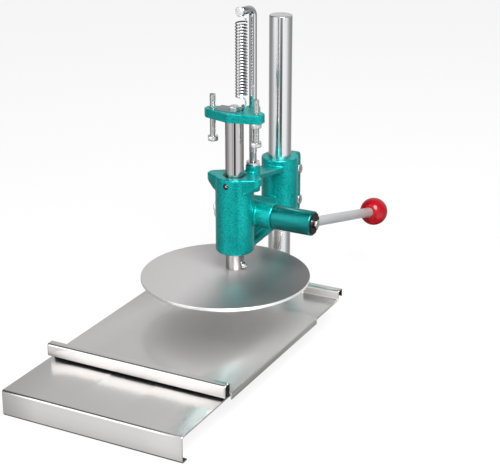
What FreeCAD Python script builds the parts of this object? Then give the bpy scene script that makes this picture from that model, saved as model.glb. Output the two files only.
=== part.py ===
"""Lever dough press: a rack and pinion push a steel disc down onto a sliding tray.

Millimetres. X runs to the right along the front edge, Y to the rear, Z up.
The origin lies on the table, straight under the axis of the ram.
"""
import FreeCAD, Part
import math
import operator
import os
import Sketcher

from FreeCAD import Placement, Rotation, Vector

SIZES = {
    # Base sheet
    "base_width": 240.0,
    "base_front": 349.0,
    "base_rear": 58.0,
    "base_height": 33.0,
    "base_gauge": 1.8,
    "base_hem": 11.0,
    "base_bend": 1.5,
    "rear_leg_width": 34.0,
    "tongue_radius": 36.0,
    "tongue_gap": 3.0,
    # Cast foot under the sheet
    "foot_boss_radius": 34.0,
    "foot_nose_radius": 22.0,
    "foot_nose_reach": 92.0,
    "foot_socket_depth": 17.0,
    "foot_recess_radius": 11.5,
    "foot_recess_depth": 8.0,
    "base_screw_radius": 2.5,
    "base_screw_length": 14.0,
    "base_screw_side": 13.0,
    "base_screw_front": 84.0,
    "base_screw_rear": 92.0,
    # Column
    "column_reach": 131.0,
    "column_diameter": 31.0,
    "column_top": 391.0,
    "column_chamfer": 0.8,
    "foot_bolt_radius": 5.0,
    "foot_bolt_flats": 17.0,
    "foot_bolt_head": 6.4,
    "foot_bolt_thread": 24.0,
    # Tray
    "tray_width": 244.0,
    "tray_gauge": 1.5,
    "tray_front": 254.0,
    "tray_rear": 74.0,
    "tray_bend": 1.6,
    "lip_depth": 12.5,
    "lip_clearance": 3.0,
    "front_lip_rise": 16.7,
    "rear_lip_rise": 12.2,
    "flange_front": 238.0,
    "flange_rear": 6.0,
    "flange_drop": 6.0,
    "flange_corner": 3.0,
    "disc_notch_gap": 3.0,
    # Disc and spindle
    "disc_diameter": 220.0,
    "disc_thickness": 4.0,
    "disc_forward": 26.5,
    "disc_top": 81.0,
    "disc_edge": 1.0,
    "spindle_diameter": 12.0,
    "spindle_height": 28.0,
    "disc_screw_height": 5.4,
    "disc_screw_radius": 2.5,
    "disc_screw_head_radius": 4.5,
    "disc_screw_head_length": 4.6,
    # Ram
    "ram_diameter": 24.0,
    "ram_shoulder": 282.5,
    "ram_spigot_diameter": 16.0,
    "ram_thread_depth": 30.0,
    # Rack and pinion
    "gear_module": 1.5,
    "pinion_teeth": 18.0,
    "rack_flat": 11.0,
    "rack_backlash": 0.16,
    "pinion_height": 152.0,
    "pinion_face": 20.0,
    "lever_sweep": 169.0,
    "journal_diameter": 16.0,
    "collar_diameter": 19.0,
    # Head casting
    "barrel_radius": 25.0,
    "barrel_bottom": 105.4,
    "barrel_rounding": 3.5,
    "head_top": 208.7,
    "ear_reach": 37.5,
    "ear_width": 9.0,
    "ear_depth": 9.5,
    "ear_slope": 9.0,
    "flange_apex": 25.8,
    "housing_radius": 17.5,
    "housing_left": 30.0,
    "housing_right": 47.0,
    "rib_width": 30.0,
    "arm_front_top": 204.0,
    "arm_rear_top": 187.0,
    "arm_depth": 6.5,
    "web_thickness": 12.0,
    "web_front_top": 180.0,
    "web_rear_top": 142.0,
    "rib_front_bottom": 103.0,
    "rib_rear_bottom": 108.5,
    "rib_depth": 7.0,
    "clamp_radius": 25.0,
    "clamp_bottom": 100.0,
    "clamp_top": 197.0,
    "clamp_slot": 3.0,
    "clamp_ear_half": 12.0,
    "clamp_ear_reach": 42.0,
    "clamp_ear_corner": 8.0,
    "clamp_bolt_behind": 31.5,
    "clamp_bolt_low": 126.0,
    "clamp_bolt_high": 171.0,
    "rod_boss_radius": 9.5,
    "rod_boss_top": 217.0,
    # Bushes and cap
    "ram_bush_radius": 15.0,
    "ram_bush_length": 26.0,
    "ram_bore_gap": 1.0,
    "shaft_bush_radius": 10.0,
    "shaft_bush_length": 24.0,
    "cap_flange": 4.0,
    "cap_plug": 16.5,
    "bush_screw_radius": 4.0,
    "bush_screw_drop": 8.7,
    "hex_socket": 4.0,
    # Lever
    "hub_radius": 16.0,
    "hub_length": 54.5,
    "hub_gap": 0.5,
    "shaft_end_gap": 15.5,
    "rod_diameter": 13.0,
    "rod_setback": 8.0,
    "rod_tail": 9.0,
    "lever_reach": 229.0,
    "lever_angle": 14.4,
    "knob_radius": 19.6,
    "knob_flat_radius": 9.0,
    "rod_spigot_radius": 5.0,
    "rod_spigot_length": 21.0,
    "hub_pin_radius": 2.0,
    "hub_pin_setback": 6.0,
    "hub_pin_lift": 40.0,
    "hub_bolt_radius": 3.0,
    "hub_bolt_flats": 10.0,
    "hub_bolt_head": 4.8,
    "hub_washer_radius": 14.0,
    "hub_washer_gauge": 1.2,
    "hub_washer_notches": 12.0,
    "shaft_washer_radius": 14.0,
    "shaft_washer_gauge": 2.0,
    # Crossbar
    "bar_thickness": 11.5,
    "bar_reach": 41.0,
    "bar_apex": 20.0,
    "bar_end_width": 18.0,
    "bar_eye_radius": 9.5,
    "guide_clearance": 0.3,
    # Guide rod with its bent arm
    "guide_side": 13.0,
    "guide_rear": 26.0,
    "guide_diameter": 10.0,
    "guide_bottom": 186.0,
    "guide_top": 420.0,
    "guide_bend": 9.0,
    "arm_heading": 257.0,
    "arm_groove": 22.3,
    "arm_groove_width": 3.6,
    "arm_groove_radius": 3.5,
    "arm_knob_radius": 6.0,
    "arm_knob_length": 4.2,
    "guide_nut_flats": 17.0,
    "guide_nut_height": 5.0,
    # Return spring
    "spring_diameter": 16.0,
    "spring_wire": 1.8,
    "spring_turns": 25.0,
    "spring_bottom": 312.0,
    "spring_top_drop": 13.0,
    "spring_hook_bottom": 298.0,
    "spring_bend": 3.6,
    "plate_gauge": 1.5,
    "plate_left": 24.5,
    "plate_front": 9.0,
    "plate_rear": 12.0,
    "plate_ear_offset": 1.6,
    "plate_ear_height": 6.4,
    "plate_ear_width": 6.0,
    "plate_hole_radius": 1.9,
    # Bolts shared by the crossbar, the clamp and the lever
    "bolt_radius": 4.0,
    "bolt_flats": 13.0,
    "bolt_head": 4.8,
    "bolt_nut": 6.5,
    "stop_side": 31.0,
    "stop_top": 312.0,
    "stop_head_top": 257.0,
    "stop_head": 6.0,
    # Fits
    "slide_gap": 0.3,
    "side_gap": 0.5,
    "running_fit": 0.05,
    "static_fit": 0.02,
    "screw_clearance": 0.2,
}

UPRIGHT = Rotation()
ALONG_X = Rotation(Vector(0, 1, 0), 90)
AGAINST_X = Rotation(Vector(0, 1, 0), -90)
ALONG_Y = Rotation(Vector(1, 0, 0), -90)
AGAINST_Y = Rotation(Vector(1, 0, 0), 90)
DOWNWARD = Rotation(Vector(1, 0, 0), 180)
SIDE_VIEW = Rotation(Vector(1, 1, 1), 120)
FRONT_VIEW = Rotation(Vector(1, 0, 0), 90)

doc = FreeCAD.newDocument("DoughPress")
nodes = []


class Size:
    """A number together with the sheet formula that gives it."""

    def __init__(self, value, formula):
        self.value = float(value)
        self.formula = formula

    def __add__(self, other):
        return combined(self, "+", other)

    def __sub__(self, other):
        return combined(self, "-", other)

    def __mul__(self, other):
        return combined(self, "*", other)

    def __truediv__(self, other):
        return combined(self, "/", other)

    def __radd__(self, other):
        return combined(other, "+", self)

    def __rsub__(self, other):
        return combined(other, "-", self)

    def __rmul__(self, other):
        return combined(other, "*", self)

    def __neg__(self):
        return combined(0, "-", self)


SIGNS = {"+": operator.add, "-": operator.sub, "*": operator.mul, "/": operator.truediv}


def as_size(amount):
    """Give a plain number the same form as a size."""
    if isinstance(amount, Size):
        return amount
    return Size(amount, repr(float(amount)))


def combined(left, sign, right):
    """Join two sizes into a new one, by value and by formula."""
    left = as_size(left)
    right = as_size(right)
    value = SIGNS[sign](left.value, right.value)
    return Size(value, f"({left.formula} {sign} {right.formula})")


def cosine(angle):
    """Cosine of a size in degrees."""
    return Size(math.cos(math.radians(angle.value)), f"cos({angle.formula})")


def sine(angle):
    """Sine of a size in degrees."""
    return Size(math.sin(math.radians(angle.value)), f"sin({angle.formula})")


def leg(long_side, short_side):
    """The other leg of a right triangle."""
    square = long_side * long_side - short_side * short_side
    return Size(math.sqrt(square.value), f"sqrt({square.formula})")


class Sheet:
    """The document's spreadsheet of driving dimensions."""

    def __init__(self, sizes):
        self.cells = doc.addObject("Spreadsheet::Sheet", "Sizes")
        for row, (alias, value) in enumerate(sizes.items(), start=1):
            self.cells.set(f"A{row}", alias)
            self.cells.set(f"B{row}", str(value))
            self.cells.setAlias(f"B{row}", alias)
        doc.recompute()

    def __getattr__(self, alias):
        return Size(self.cells.get(alias), f"Sizes.{alias}")


S = Sheet(SIZES)


def bind(thing, path, amount):
    """Tie a property to its formula."""
    thing.setExpression(path, as_size(amount).formula)


def put(thing, at, turn=UPRIGHT):
    """Place an object at a point worked out from the sheet."""
    thing.Placement = Placement(Vector(), turn)
    for letter, amount in zip("xyz", at):
        bind(thing, f"Placement.Base.{letter}", amount)
    return thing


def node(label, thing):
    """Name a finished piece; the name is also the name of its file."""
    thing.Label = label
    nodes.append(thing)
    return thing


def cylinder(name, radius, length, at=(0, 0, 0), turn=UPRIGHT):
    """A round bar that starts at a point."""
    bar = doc.addObject("Part::Cylinder", name)
    bind(bar, "Radius", radius)
    bind(bar, "Height", length)
    return put(bar, at, turn)


def box(name, low, high):
    """A block between two corners."""
    block = doc.addObject("Part::Box", name)
    for side, first, last in zip(("Length", "Width", "Height"), low, high):
        bind(block, side, as_size(last) - first)
    return put(block, low)


def fused(name, *parts):
    """One solid made of several."""
    whole = doc.addObject("Part::MultiFuse", name)
    whole.Shapes = list(parts)
    whole.Refine = True
    return whole


def cut(name, base, *tools):
    """A solid with others taken out of it."""
    result = base
    for number, tool in enumerate(tools, start=1):
        step = doc.addObject("Part::Cut", f"{name}_{number}")
        step.Base = result
        step.Tool = tool
        result = step
    return result


def common(name, first, second):
    """What two solids share."""
    result = doc.addObject("Part::Common", name)
    result.Base = first
    result.Tool = second
    return result


def group(name, parts):
    """Several equal pieces that share a node."""
    result = doc.addObject("Part::Compound", name)
    result.Links = list(parts)
    return result


def rounded(name, base, radius, chosen):
    """Round the edges of a solid that a test picks out."""
    doc.recompute()
    result = doc.addObject("Part::Fillet", name)
    result.Base = base
    result.Edges = [
        (number, radius.value, radius.value)
        for number, edge in enumerate(base.Shape.Edges, start=1)
        if chosen(edge)
    ]
    return result


def draw(sketch, points):
    """Draw a closed outline whose corners are tied to the sheet."""
    corners = [tuple(as_size(amount) for amount in point) for point in points]
    count = len(corners)
    for number in range(count):
        start, end = corners[number], corners[(number + 1) % count]
        line = Part.LineSegment(
            Vector(start[0].value, start[1].value, 0), Vector(end[0].value, end[1].value, 0)
        )
        sketch.addGeometry(line, False)
    for number in range(count):
        following = (number + 1) % count
        sketch.addConstraint(Sketcher.Constraint("Coincident", number, 2, following, 1))
    for number, corner in enumerate(corners):
        for kind, amount in zip(("DistanceX", "DistanceY"), corner):
            rule = Sketcher.Constraint(kind, -1, 1, number, 1, amount.value)
            index = sketch.addConstraint(rule)
            bind(sketch, f"Constraints[{index}]", amount)
    return sketch


def free_sketch(name, points, at=(0, 0, 0), turn=UPRIGHT):
    """A closed outline that stands by itself."""
    sketch = doc.addObject("Sketcher::SketchObject", name)
    draw(sketch, points)
    return put(sketch, at, turn)


def slab(name, sketch, thickness, symmetric=False):
    """An outline thickened square to its own plane."""
    solid = doc.addObject("Part::Extrusion", name)
    solid.Base = sketch
    solid.DirMode = "Normal"
    solid.Solid = True
    solid.Symmetric = symmetric
    bind(solid, "LengthFwd", thickness)
    return solid


def new_body(name):
    """A body and its origin planes by role."""
    body = doc.addObject("PartDesign::Body", name)
    planes = {feature.Role: feature for feature in body.Origin.OriginFeatures}
    return body, planes


def body_sketch(body, plane, name, points, offset=0):
    """An outline on one of a body's own planes."""
    sketch = body.newObject("Sketcher::SketchObject", name)
    sketch.AttachmentSupport = [(plane, "")]
    sketch.MapMode = "FlatFace"
    bind(sketch, "AttachmentOffset.Base.z", offset)
    return draw(sketch, points)


def turned(name, profile, at=(0, 0, 0), turn=UPRIGHT):
    """A lathe-turned body from its half profile of radius and height."""
    body, planes = new_body(name)
    sketch = body_sketch(body, planes["XZ_Plane"], f"{name}_profile", profile)
    spin = body.newObject("PartDesign::Revolution", f"{name}_turning")
    spin.Profile = sketch
    spin.ReferenceAxis = (sketch, ["V_Axis"])
    spin.Angle = 360
    put(body, at, turn)
    return body


def padded(body, sketch, name, length, midplane=False, backward=False):
    """Thicken an outline inside a body."""
    pad = body.newObject("PartDesign::Pad", name)
    pad.Profile = sketch
    pad.Midplane = midplane
    pad.Reversed = backward
    bind(pad, "Length", length)
    return pad


def pocketed(body, sketch, name, length, midplane=False, backward=False):
    """Cut an outline out of a body."""
    pocket = body.newObject("PartDesign::Pocket", name)
    pocket.Profile = sketch
    pocket.Midplane = midplane
    pocket.Reversed = backward
    bind(pocket, "Length", length)
    return pocket


def bent(body, feature, name, radius, chosen):
    """Round the bends of a sheet that a test picks out."""
    doc.recompute()
    edges = [
        f"Edge{number}"
        for number, edge in enumerate(feature.Shape.Edges, start=1)
        if chosen(edge)
    ]
    bend = body.newObject("PartDesign::Fillet", name)
    bend.Base = (feature, edges)
    bind(bend, "Radius", radius)
    return bend


def along_width(edge, corners):
    """Tell whether an edge runs along X through one of some (y, z) corners."""
    first = edge.Vertexes[0].Point
    last = edge.Vertexes[-1].Point
    if abs(first.y - last.y) > 0.01 or abs(first.z - last.z) > 0.01:
        return False
    return any(
        abs(first.y - y.value) < 0.01 and abs(first.z - z.value) < 0.01 for y, z in corners
    )


def hex_head(name, flats, height, at, turn):
    """A six-sided head with the corners of its outer face turned off."""
    prism = doc.addObject("Part::Prism", f"{name}_prism")
    prism.Polygon = 6
    bind(prism, "Circumradius", flats / as_size(math.sqrt(3)))
    bind(prism, "Height", height)
    put(prism, at, turn)
    cone = doc.addObject("Part::Cone", f"{name}_cone")
    bind(cone, "Radius1", flats * 0.48 + height * 1.7)
    bind(cone, "Radius2", flats * 0.48)
    bind(cone, "Height", height)
    put(cone, at, turn)
    return common(name, prism, cone)


def bolt(name, radius, flats, head, length, at, turn):
    """A hexagon bolt: its head grows along the turn, its shank the other way."""
    back = turn.multVec(Vector(0, 0, -1))
    start = [as_size(amount) + length * part for amount, part in zip(at, back)]
    shank = cylinder(f"{name}_shank", radius, length, start, turn)
    return fused(name, hex_head(f"{name}_head", flats, head, at, turn), shank)


def nut(name, radius, flats, height, at, turn):
    """A hexagon nut."""
    head = hex_head(f"{name}_hexagon", flats, height, at, turn)
    hole = cylinder(f"{name}_hole", radius, height, at, turn)
    return cut(name, head, hole)


BASE_TOP = S.base_height
FOOT_TOP = S.base_height - S.base_gauge
TRAY_BOTTOM = BASE_TOP + S.slide_gap
TRAY_TOP = TRAY_BOTTOM + S.tray_gauge
RAM_RADIUS = S.ram_diameter / 2
BAR_TOP = S.ram_shoulder + S.bar_thickness
PLATE_TOP = BAR_TOP + S.plate_gauge
TOOTH_PITCH = S.gear_module * math.pi
PITCH_RADIUS = S.gear_module * S.pinion_teeth / 2
PINION_REAR = S.rack_flat - S.gear_module + PITCH_RADIUS
PINION_TIP = PITCH_RADIUS + S.gear_module
PINION_BORE = PINION_TIP + S.side_gap
RAM_TRAVEL = PITCH_RADIUS * S.lever_sweep * (math.pi / 180)
JOURNAL = S.journal_diameter / 2
HUB_START = S.housing_right + S.hub_gap
HUB_END = HUB_START + S.hub_length
ROD_SIDE = HUB_END - S.rod_setback
SPRING_X = S.guide_side + S.arm_groove * cosine(S.arm_heading)
SPRING_Y = S.guide_rear + S.arm_groove * sine(S.arm_heading)
COIL_RADIUS = (S.spring_diameter - S.spring_wire) / 2


def make_base_sheet():
    """Stainless base: hemmed front leg, two rear legs and a tongue round the column."""
    body, planes = new_body("base_sheet_body")
    inner_front = S.base_gauge - S.base_front
    profile = [
        (-S.base_front, 0),
        (-S.base_front, BASE_TOP),
        (S.base_rear, BASE_TOP),
        (S.base_rear, 0),
        (S.base_rear - S.base_gauge, 0),
        (S.base_rear - S.base_gauge, FOOT_TOP),
        (inner_front, FOOT_TOP),
        (inner_front, S.base_gauge),
        (S.base_hem - S.base_front, S.base_gauge),
        (S.base_hem - S.base_front, 0),
    ]
    sketch = body_sketch(body, planes["YZ_Plane"], "base_profile", profile)
    sheet = padded(body, sketch, "base_strip", S.base_width, midplane=True)
    outer = [profile[0], profile[1], profile[2]]
    inner = [profile[7], profile[6], profile[5]]
    outer = [tuple(map(as_size, corner)) for corner in outer]
    inner = [tuple(map(as_size, corner)) for corner in inner]
    sheet = bent(
        body, sheet, "outer_bends", S.base_bend + S.base_gauge, lambda e: along_width(e, outer)
    )
    sheet = bent(body, sheet, "inner_bends", S.base_bend, lambda e: along_width(e, inner))
    half = S.base_width / 2
    leg_inner = S.tongue_radius + S.tongue_gap
    leg_outer = leg_inner + S.rear_leg_width
    behind = S.base_rear + 1
    for name, side in (("left", -1), ("right", 1)):
        beside = [
            (half * side, -S.base_gauge),
            (leg_outer * side, -S.base_gauge),
            (leg_outer * side, FOOT_TOP - S.base_bend),
            (half * side, FOOT_TOP - S.base_bend),
        ]
        sketch = body_sketch(
            body, planes["XZ_Plane"], f"{name}_leg_outline", beside, -behind
        )
        pocketed(body, sketch, f"{name}_leg_cut", S.base_gauge + S.base_bend + 2, backward=True)
    middle = [
        (-leg_inner, -S.base_gauge),
        (leg_inner, -S.base_gauge),
        (leg_inner, BASE_TOP + 1),
        (-leg_inner, BASE_TOP + 1),
    ]
    sketch = body_sketch(body, planes["XZ_Plane"], "tongue_relief_outline", middle, -behind)
    depth = S.base_gauge + S.base_bend + 2
    pocketed(body, sketch, "tongue_relief", depth, backward=True)
    tongue = tongue_plate()
    whole = fused("base_with_tongue", body, tongue)
    gap = S.side_gap
    hole = cylinder(
        "column_hole",
        S.column_diameter / 2 + gap,
        S.base_gauge + 2,
        (0, S.column_reach, FOOT_TOP - 1),
    )
    tools = [hole] + [countersink(place) for place in base_screw_places()]
    node("base_sheet", cut("base_sheet_cut", whole, *tools))


def tongue_plate():
    """The part of the base sheet that runs back to the column."""
    start = S.base_rear - S.base_gauge - S.base_bend - 2
    strip = box(
        "tongue_strip",
        (-S.tongue_radius, start, FOOT_TOP),
        (S.tongue_radius, S.column_reach, BASE_TOP),
    )
    end = cylinder(
        "tongue_end", S.tongue_radius, S.base_gauge, (0, S.column_reach, FOOT_TOP)
    )
    return fused("tongue", strip, end)


def base_screw_places():
    """Plan positions of the four screws between sheet and foot."""
    side = S.base_screw_side
    return [
        (side * sign, along)
        for along in (-S.base_screw_front, S.base_screw_rear)
        for sign in (-1, 1)
    ]


def countersink(place):
    """The cone that a flush screw head leaves in the sheet."""
    cone = doc.addObject("Part::Cone", "countersink")
    bind(cone, "Radius1", S.base_screw_radius + S.static_fit)
    bind(cone, "Radius2", S.base_screw_radius + S.base_gauge + S.static_fit)
    bind(cone, "Height", S.base_gauge)
    return put(cone, (place[0], place[1], FOOT_TOP))


def make_base_screws():
    """Four flush screws with a hexagon socket."""
    radius = S.base_screw_radius
    profile = [
        (0, -S.base_screw_length),
        (radius * 0.7, -S.base_screw_length),
        (radius, radius * 0.5 - S.base_screw_length),
        (radius, 0),
        (radius + S.base_gauge, S.base_gauge),
        (radius * 0.6, S.base_gauge),
        (radius * 0.6, S.base_gauge * 0.3),
        (0, S.base_gauge * 0.3),
    ]
    screws = [
        turned("base_screw", profile, (place[0], place[1], FOOT_TOP))
        for place in base_screw_places()
    ]
    node("base_screws", group("base_screw_group", screws))


def make_foot():
    """Cast foot: a boss that holds the column and a beam under the pressing place."""
    nose = cylinder("foot_nose", S.foot_nose_radius, FOOT_TOP, (0, -S.foot_nose_reach, 0))
    boss = cylinder("foot_boss", S.foot_boss_radius, FOOT_TOP, (0, S.column_reach, 0))
    plan = free_sketch(
        "foot_plan",
        [
            (-S.foot_nose_radius, -S.foot_nose_reach),
            (S.foot_nose_radius, -S.foot_nose_reach),
            (S.foot_boss_radius, S.column_reach),
            (-S.foot_boss_radius, S.column_reach),
        ],
    )
    block = fused("foot_block", slab("foot_beam", plan, FOOT_TOP), nose, boss)
    socket = cylinder(
        "column_socket",
        S.column_diameter / 2 + S.static_fit,
        S.foot_socket_depth + 1,
        (0, S.column_reach, FOOT_TOP - S.foot_socket_depth),
    )
    recess = cylinder(
        "foot_bolt_recess",
        S.foot_recess_radius,
        S.foot_recess_depth + 1,
        (0, S.column_reach, -1),
    )
    passage = cylinder(
        "foot_bolt_passage",
        S.foot_bolt_radius + S.screw_clearance,
        FOOT_TOP,
        (0, S.column_reach, 0),
    )
    screw_holes = [
        cylinder(
            "base_screw_hole",
            S.base_screw_radius + S.static_fit,
            S.base_screw_length + 2,
            (place[0], place[1], FOOT_TOP - S.base_screw_length - 1),
        )
        for place in base_screw_places()
    ]
    node("column_foot", cut("foot_cut", block, socket, recess, passage, *screw_holes))


def make_column():
    """Chromed column with a tapped hole in its lower end."""
    radius = S.column_diameter / 2
    bottom = FOOT_TOP - S.foot_socket_depth
    tapped = S.foot_bolt_radius + S.static_fit
    drilled = bottom + S.foot_bolt_thread + 3
    profile = [
        (tapped, bottom),
        (radius, bottom),
        (radius, S.column_top - S.column_chamfer),
        (radius - S.column_chamfer, S.column_top),
        (0, S.column_top),
        (0, drilled),
        (tapped, drilled),
    ]
    node("column", turned("column_body", profile, (0, S.column_reach, 0)))
    seat = S.foot_recess_depth
    length = bottom - seat + S.foot_bolt_thread
    foot_bolt = bolt(
        "foot_bolt_body",
        S.foot_bolt_radius,
        S.foot_bolt_flats,
        S.foot_bolt_head,
        length,
        (0, S.column_reach, seat),
        DOWNWARD,
    )
    node("foot_bolt", foot_bolt)


def lip_corners(outer, rise, side):
    """Corners of a folded lip, from the free edge over the top to the plate."""
    gauge = S.tray_gauge
    top = TRAY_TOP + rise
    inner = outer - S.lip_depth * side
    edge = BASE_TOP + S.lip_clearance
    over = [(outer, edge), (outer, top), (inner, top), (inner, TRAY_TOP)]
    step = gauge * side
    under = [
        (outer - step, edge),
        (outer - step, top - gauge),
        (inner + step, top - gauge),
        (inner + step, TRAY_BOTTOM),
    ]
    return over, under


def make_tray():
    """Stainless tray with a folded lip at each end and a flange down each side."""
    body, planes = new_body("tray_body")
    front_over, front_under = lip_corners(-S.tray_front, S.front_lip_rise, -1)
    rear_over, rear_under = lip_corners(S.tray_rear, S.rear_lip_rise, 1)
    profile = front_over + rear_over[::-1] + rear_under + front_under[::-1]
    sketch = body_sketch(body, planes["YZ_Plane"], "tray_profile", profile)
    tray = padded(body, sketch, "tray_strip", S.tray_width, midplane=True)
    convex = front_over[1:3] + rear_over[1:3] + [front_under[3], rear_under[3]]
    concave = front_under[1:3] + rear_under[1:3] + [front_over[3], rear_over[3]]
    outside = S.tray_bend + S.tray_gauge
    tray = bent(body, tray, "tray_outer_bends", outside, lambda e: along_width(e, convex))
    bent(body, tray, "tray_inner_bends", S.tray_bend, lambda e: along_width(e, concave))
    low = TRAY_BOTTOM - S.flange_drop
    corner = S.flange_corner
    high = TRAY_BOTTOM + S.tray_gauge / 2
    flange = [
        (-S.flange_front, high),
        (-S.flange_front, low),
        (-S.flange_rear - corner, low),
        (-S.flange_rear, low + corner),
        (-S.flange_rear, high),
    ]
    half = S.tray_width / 2
    inside = half - S.tray_gauge
    sketch = body_sketch(body, planes["YZ_Plane"], "right_flange_outline", flange, inside)
    padded(body, sketch, "right_flange", S.tray_gauge)
    sketch = body_sketch(body, planes["YZ_Plane"], "left_flange_outline", flange, -half)
    padded(body, sketch, "left_flange", S.tray_gauge)
    sketch = body_sketch(
        body, planes["XY_Plane"], "disc_notch_outline", notch_outline(), TRAY_TOP
    )
    pocketed(body, sketch, "disc_notch", S.rear_lip_rise + 1, backward=True)
    node("tray", body)


def notch_outline():
    """The gap in the rear lip that lets the disc come down."""
    rear = S.tray_rear
    front = rear - S.lip_depth
    reach = S.disc_diameter / 2 + S.disc_notch_gap
    half = leg(reach, front + S.disc_forward)
    return [(-half, front), (half, front), (half, rear + 1), (-half, rear + 1)]


def make_disc():
    """Pressing disc, set forward of the spindle that carries it."""
    radius = S.disc_diameter / 2
    low = S.disc_top - S.disc_thickness
    edge = S.disc_edge
    profile = [
        (0, low),
        (radius - edge, low),
        (radius, low + edge),
        (radius, S.disc_top - edge),
        (radius - edge, S.disc_top),
        (0, S.disc_top),
    ]
    plate = turned("disc_plate", profile, (0, -S.disc_forward, 0))
    hole = cylinder(
        "spindle_hole", S.spindle_diameter / 2 + S.static_fit, S.disc_thickness + 2, (0, 0, low - 1)
    )
    node("press_disc", cut("disc_cut", plate, hole))
    spindle = S.spindle_diameter / 2
    top = S.disc_top + S.spindle_height
    stem = turned(
        "spindle_stem",
        [(0, low), (spindle, low), (spindle, top - 1), (spindle - 1, top), (0, top)],
    )
    height = S.disc_top + S.disc_screw_height
    dimple = cylinder(
        "spindle_dimple",
        S.disc_screw_radius + S.static_fit,
        spindle + 1,
        (spindle * 0.5, 0, height),
        ALONG_X,
    )
    node("disc_spindle", cut("spindle_cut", stem, dimple))
    reach = RAM_RADIUS + S.static_fit
    screw = cylinder(
        "disc_screw_shank",
        S.disc_screw_radius,
        reach - spindle * 0.5 - S.static_fit,
        (spindle * 0.5 + S.static_fit, 0, height),
        ALONG_X,
    )
    head = S.disc_screw_head_radius
    length = S.disc_screw_head_length
    cap = turned(
        "disc_screw_head",
        [
            (0, 0),
            (head, 0),
            (head, length - 0.6),
            (head - 0.6, length),
            (S.hex_socket / 2, length),
            (S.hex_socket / 2, length * 0.4),
            (0, length * 0.4),
        ],
        (reach, 0, height),
        ALONG_X,
    )
    node("disc_screw", fused("disc_screw_body", screw, cap))


def rack_gap_count():
    """How many gaps the rack needs for the whole stroke."""
    return math.ceil(RAM_TRAVEL.value / TOOTH_PITCH.value + 1.5) + 3


def make_ram():
    """Chromed ram with the rack milled into its rear side."""
    body, planes = new_body("ram_body")
    low = S.disc_top + S.static_fit
    spigot = S.ram_spigot_diameter / 2
    bore = S.spindle_diameter / 2 + S.static_fit
    tapped = S.bolt_radius + S.static_fit
    bore_top = S.disc_top + S.spindle_height + 3
    top = BAR_TOP - S.slide_gap
    profile = [
        (bore, low),
        (RAM_RADIUS - 1, low),
        (RAM_RADIUS, low + 1),
        (RAM_RADIUS, S.ram_shoulder),
        (spigot, S.ram_shoulder),
        (spigot, top),
        (tapped, top),
        (tapped, top - S.ram_thread_depth - 2),
        (0, top - S.ram_thread_depth - 2),
        (0, bore_top),
        (bore, bore_top),
    ]
    sketch = body_sketch(body, planes["XZ_Plane"], "ram_profile", profile)
    spin = body.newObject("PartDesign::Revolution", "ram_turning")
    spin.Profile = sketch
    spin.ReferenceAxis = (sketch, ["V_Axis"])
    spin.Angle = 360
    pitch = TOOTH_PITCH
    first = S.pinion_height - pitch * 2
    count = rack_gap_count()
    end = first + pitch * (count - 0.5)
    flat = [
        (S.rack_flat, first - pitch / 2),
        (RAM_RADIUS + 1, first - pitch / 2),
        (RAM_RADIUS + 1, end),
        (S.rack_flat, end),
    ]
    sketch = body_sketch(body, planes["YZ_Plane"], "rack_flat_outline", flat)
    pocketed(body, sketch, "rack_flat_cut", S.ram_diameter, midplane=True)
    sketch = body_sketch(body, planes["YZ_Plane"], "rack_gap_outline", rack_gap(first))
    gap = pocketed(body, sketch, "rack_gap", S.ram_diameter, midplane=True)
    rack = body.newObject("PartDesign::LinearPattern", "rack_gaps")
    rack.Originals = [gap]
    rack.Direction = (planes["Z_Axis"], [""])
    rack.Occurrences = count
    bind(rack, "Length", pitch * (count - 1))
    body.Tip = rack
    screw = cylinder(
        "disc_screw_hole",
        S.disc_screw_radius + S.static_fit,
        RAM_RADIUS,
        (S.spindle_diameter / 4, 0, S.disc_top + S.disc_screw_height),
        ALONG_X,
    )
    node("ram", cut("ram_cut", body, screw))


def rack_gap(height):
    """One gap of the rack: straight flanks at twenty degrees."""
    slope = math.tan(math.radians(20))
    pitch_line = S.rack_flat - S.gear_module
    root = pitch_line - S.gear_module * 1.25
    half = TOOTH_PITCH / 4 + S.rack_backlash / 4
    outer = S.rack_flat + 0.5
    return [
        (root, height - half + (pitch_line - root) * slope),
        (outer, height - half - (outer - pitch_line) * slope),
        (outer, height + half + (outer - pitch_line) * slope),
        (root, height + half - (pitch_line - root) * slope),
    ]


def involute_flank(base, tip, start_angle, hand):
    """Three points of an involute flank, from the base circle to the tip circle."""
    points = []
    for share in (0.0, 0.55, 1.0):
        radius = base + (tip - base) * share
        pressure = math.acos(base / radius)
        angle = start_angle + hand * (math.tan(pressure) - pressure)
        points.append(Vector(radius * math.cos(angle), radius * math.sin(angle), 0))
    return points


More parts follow.
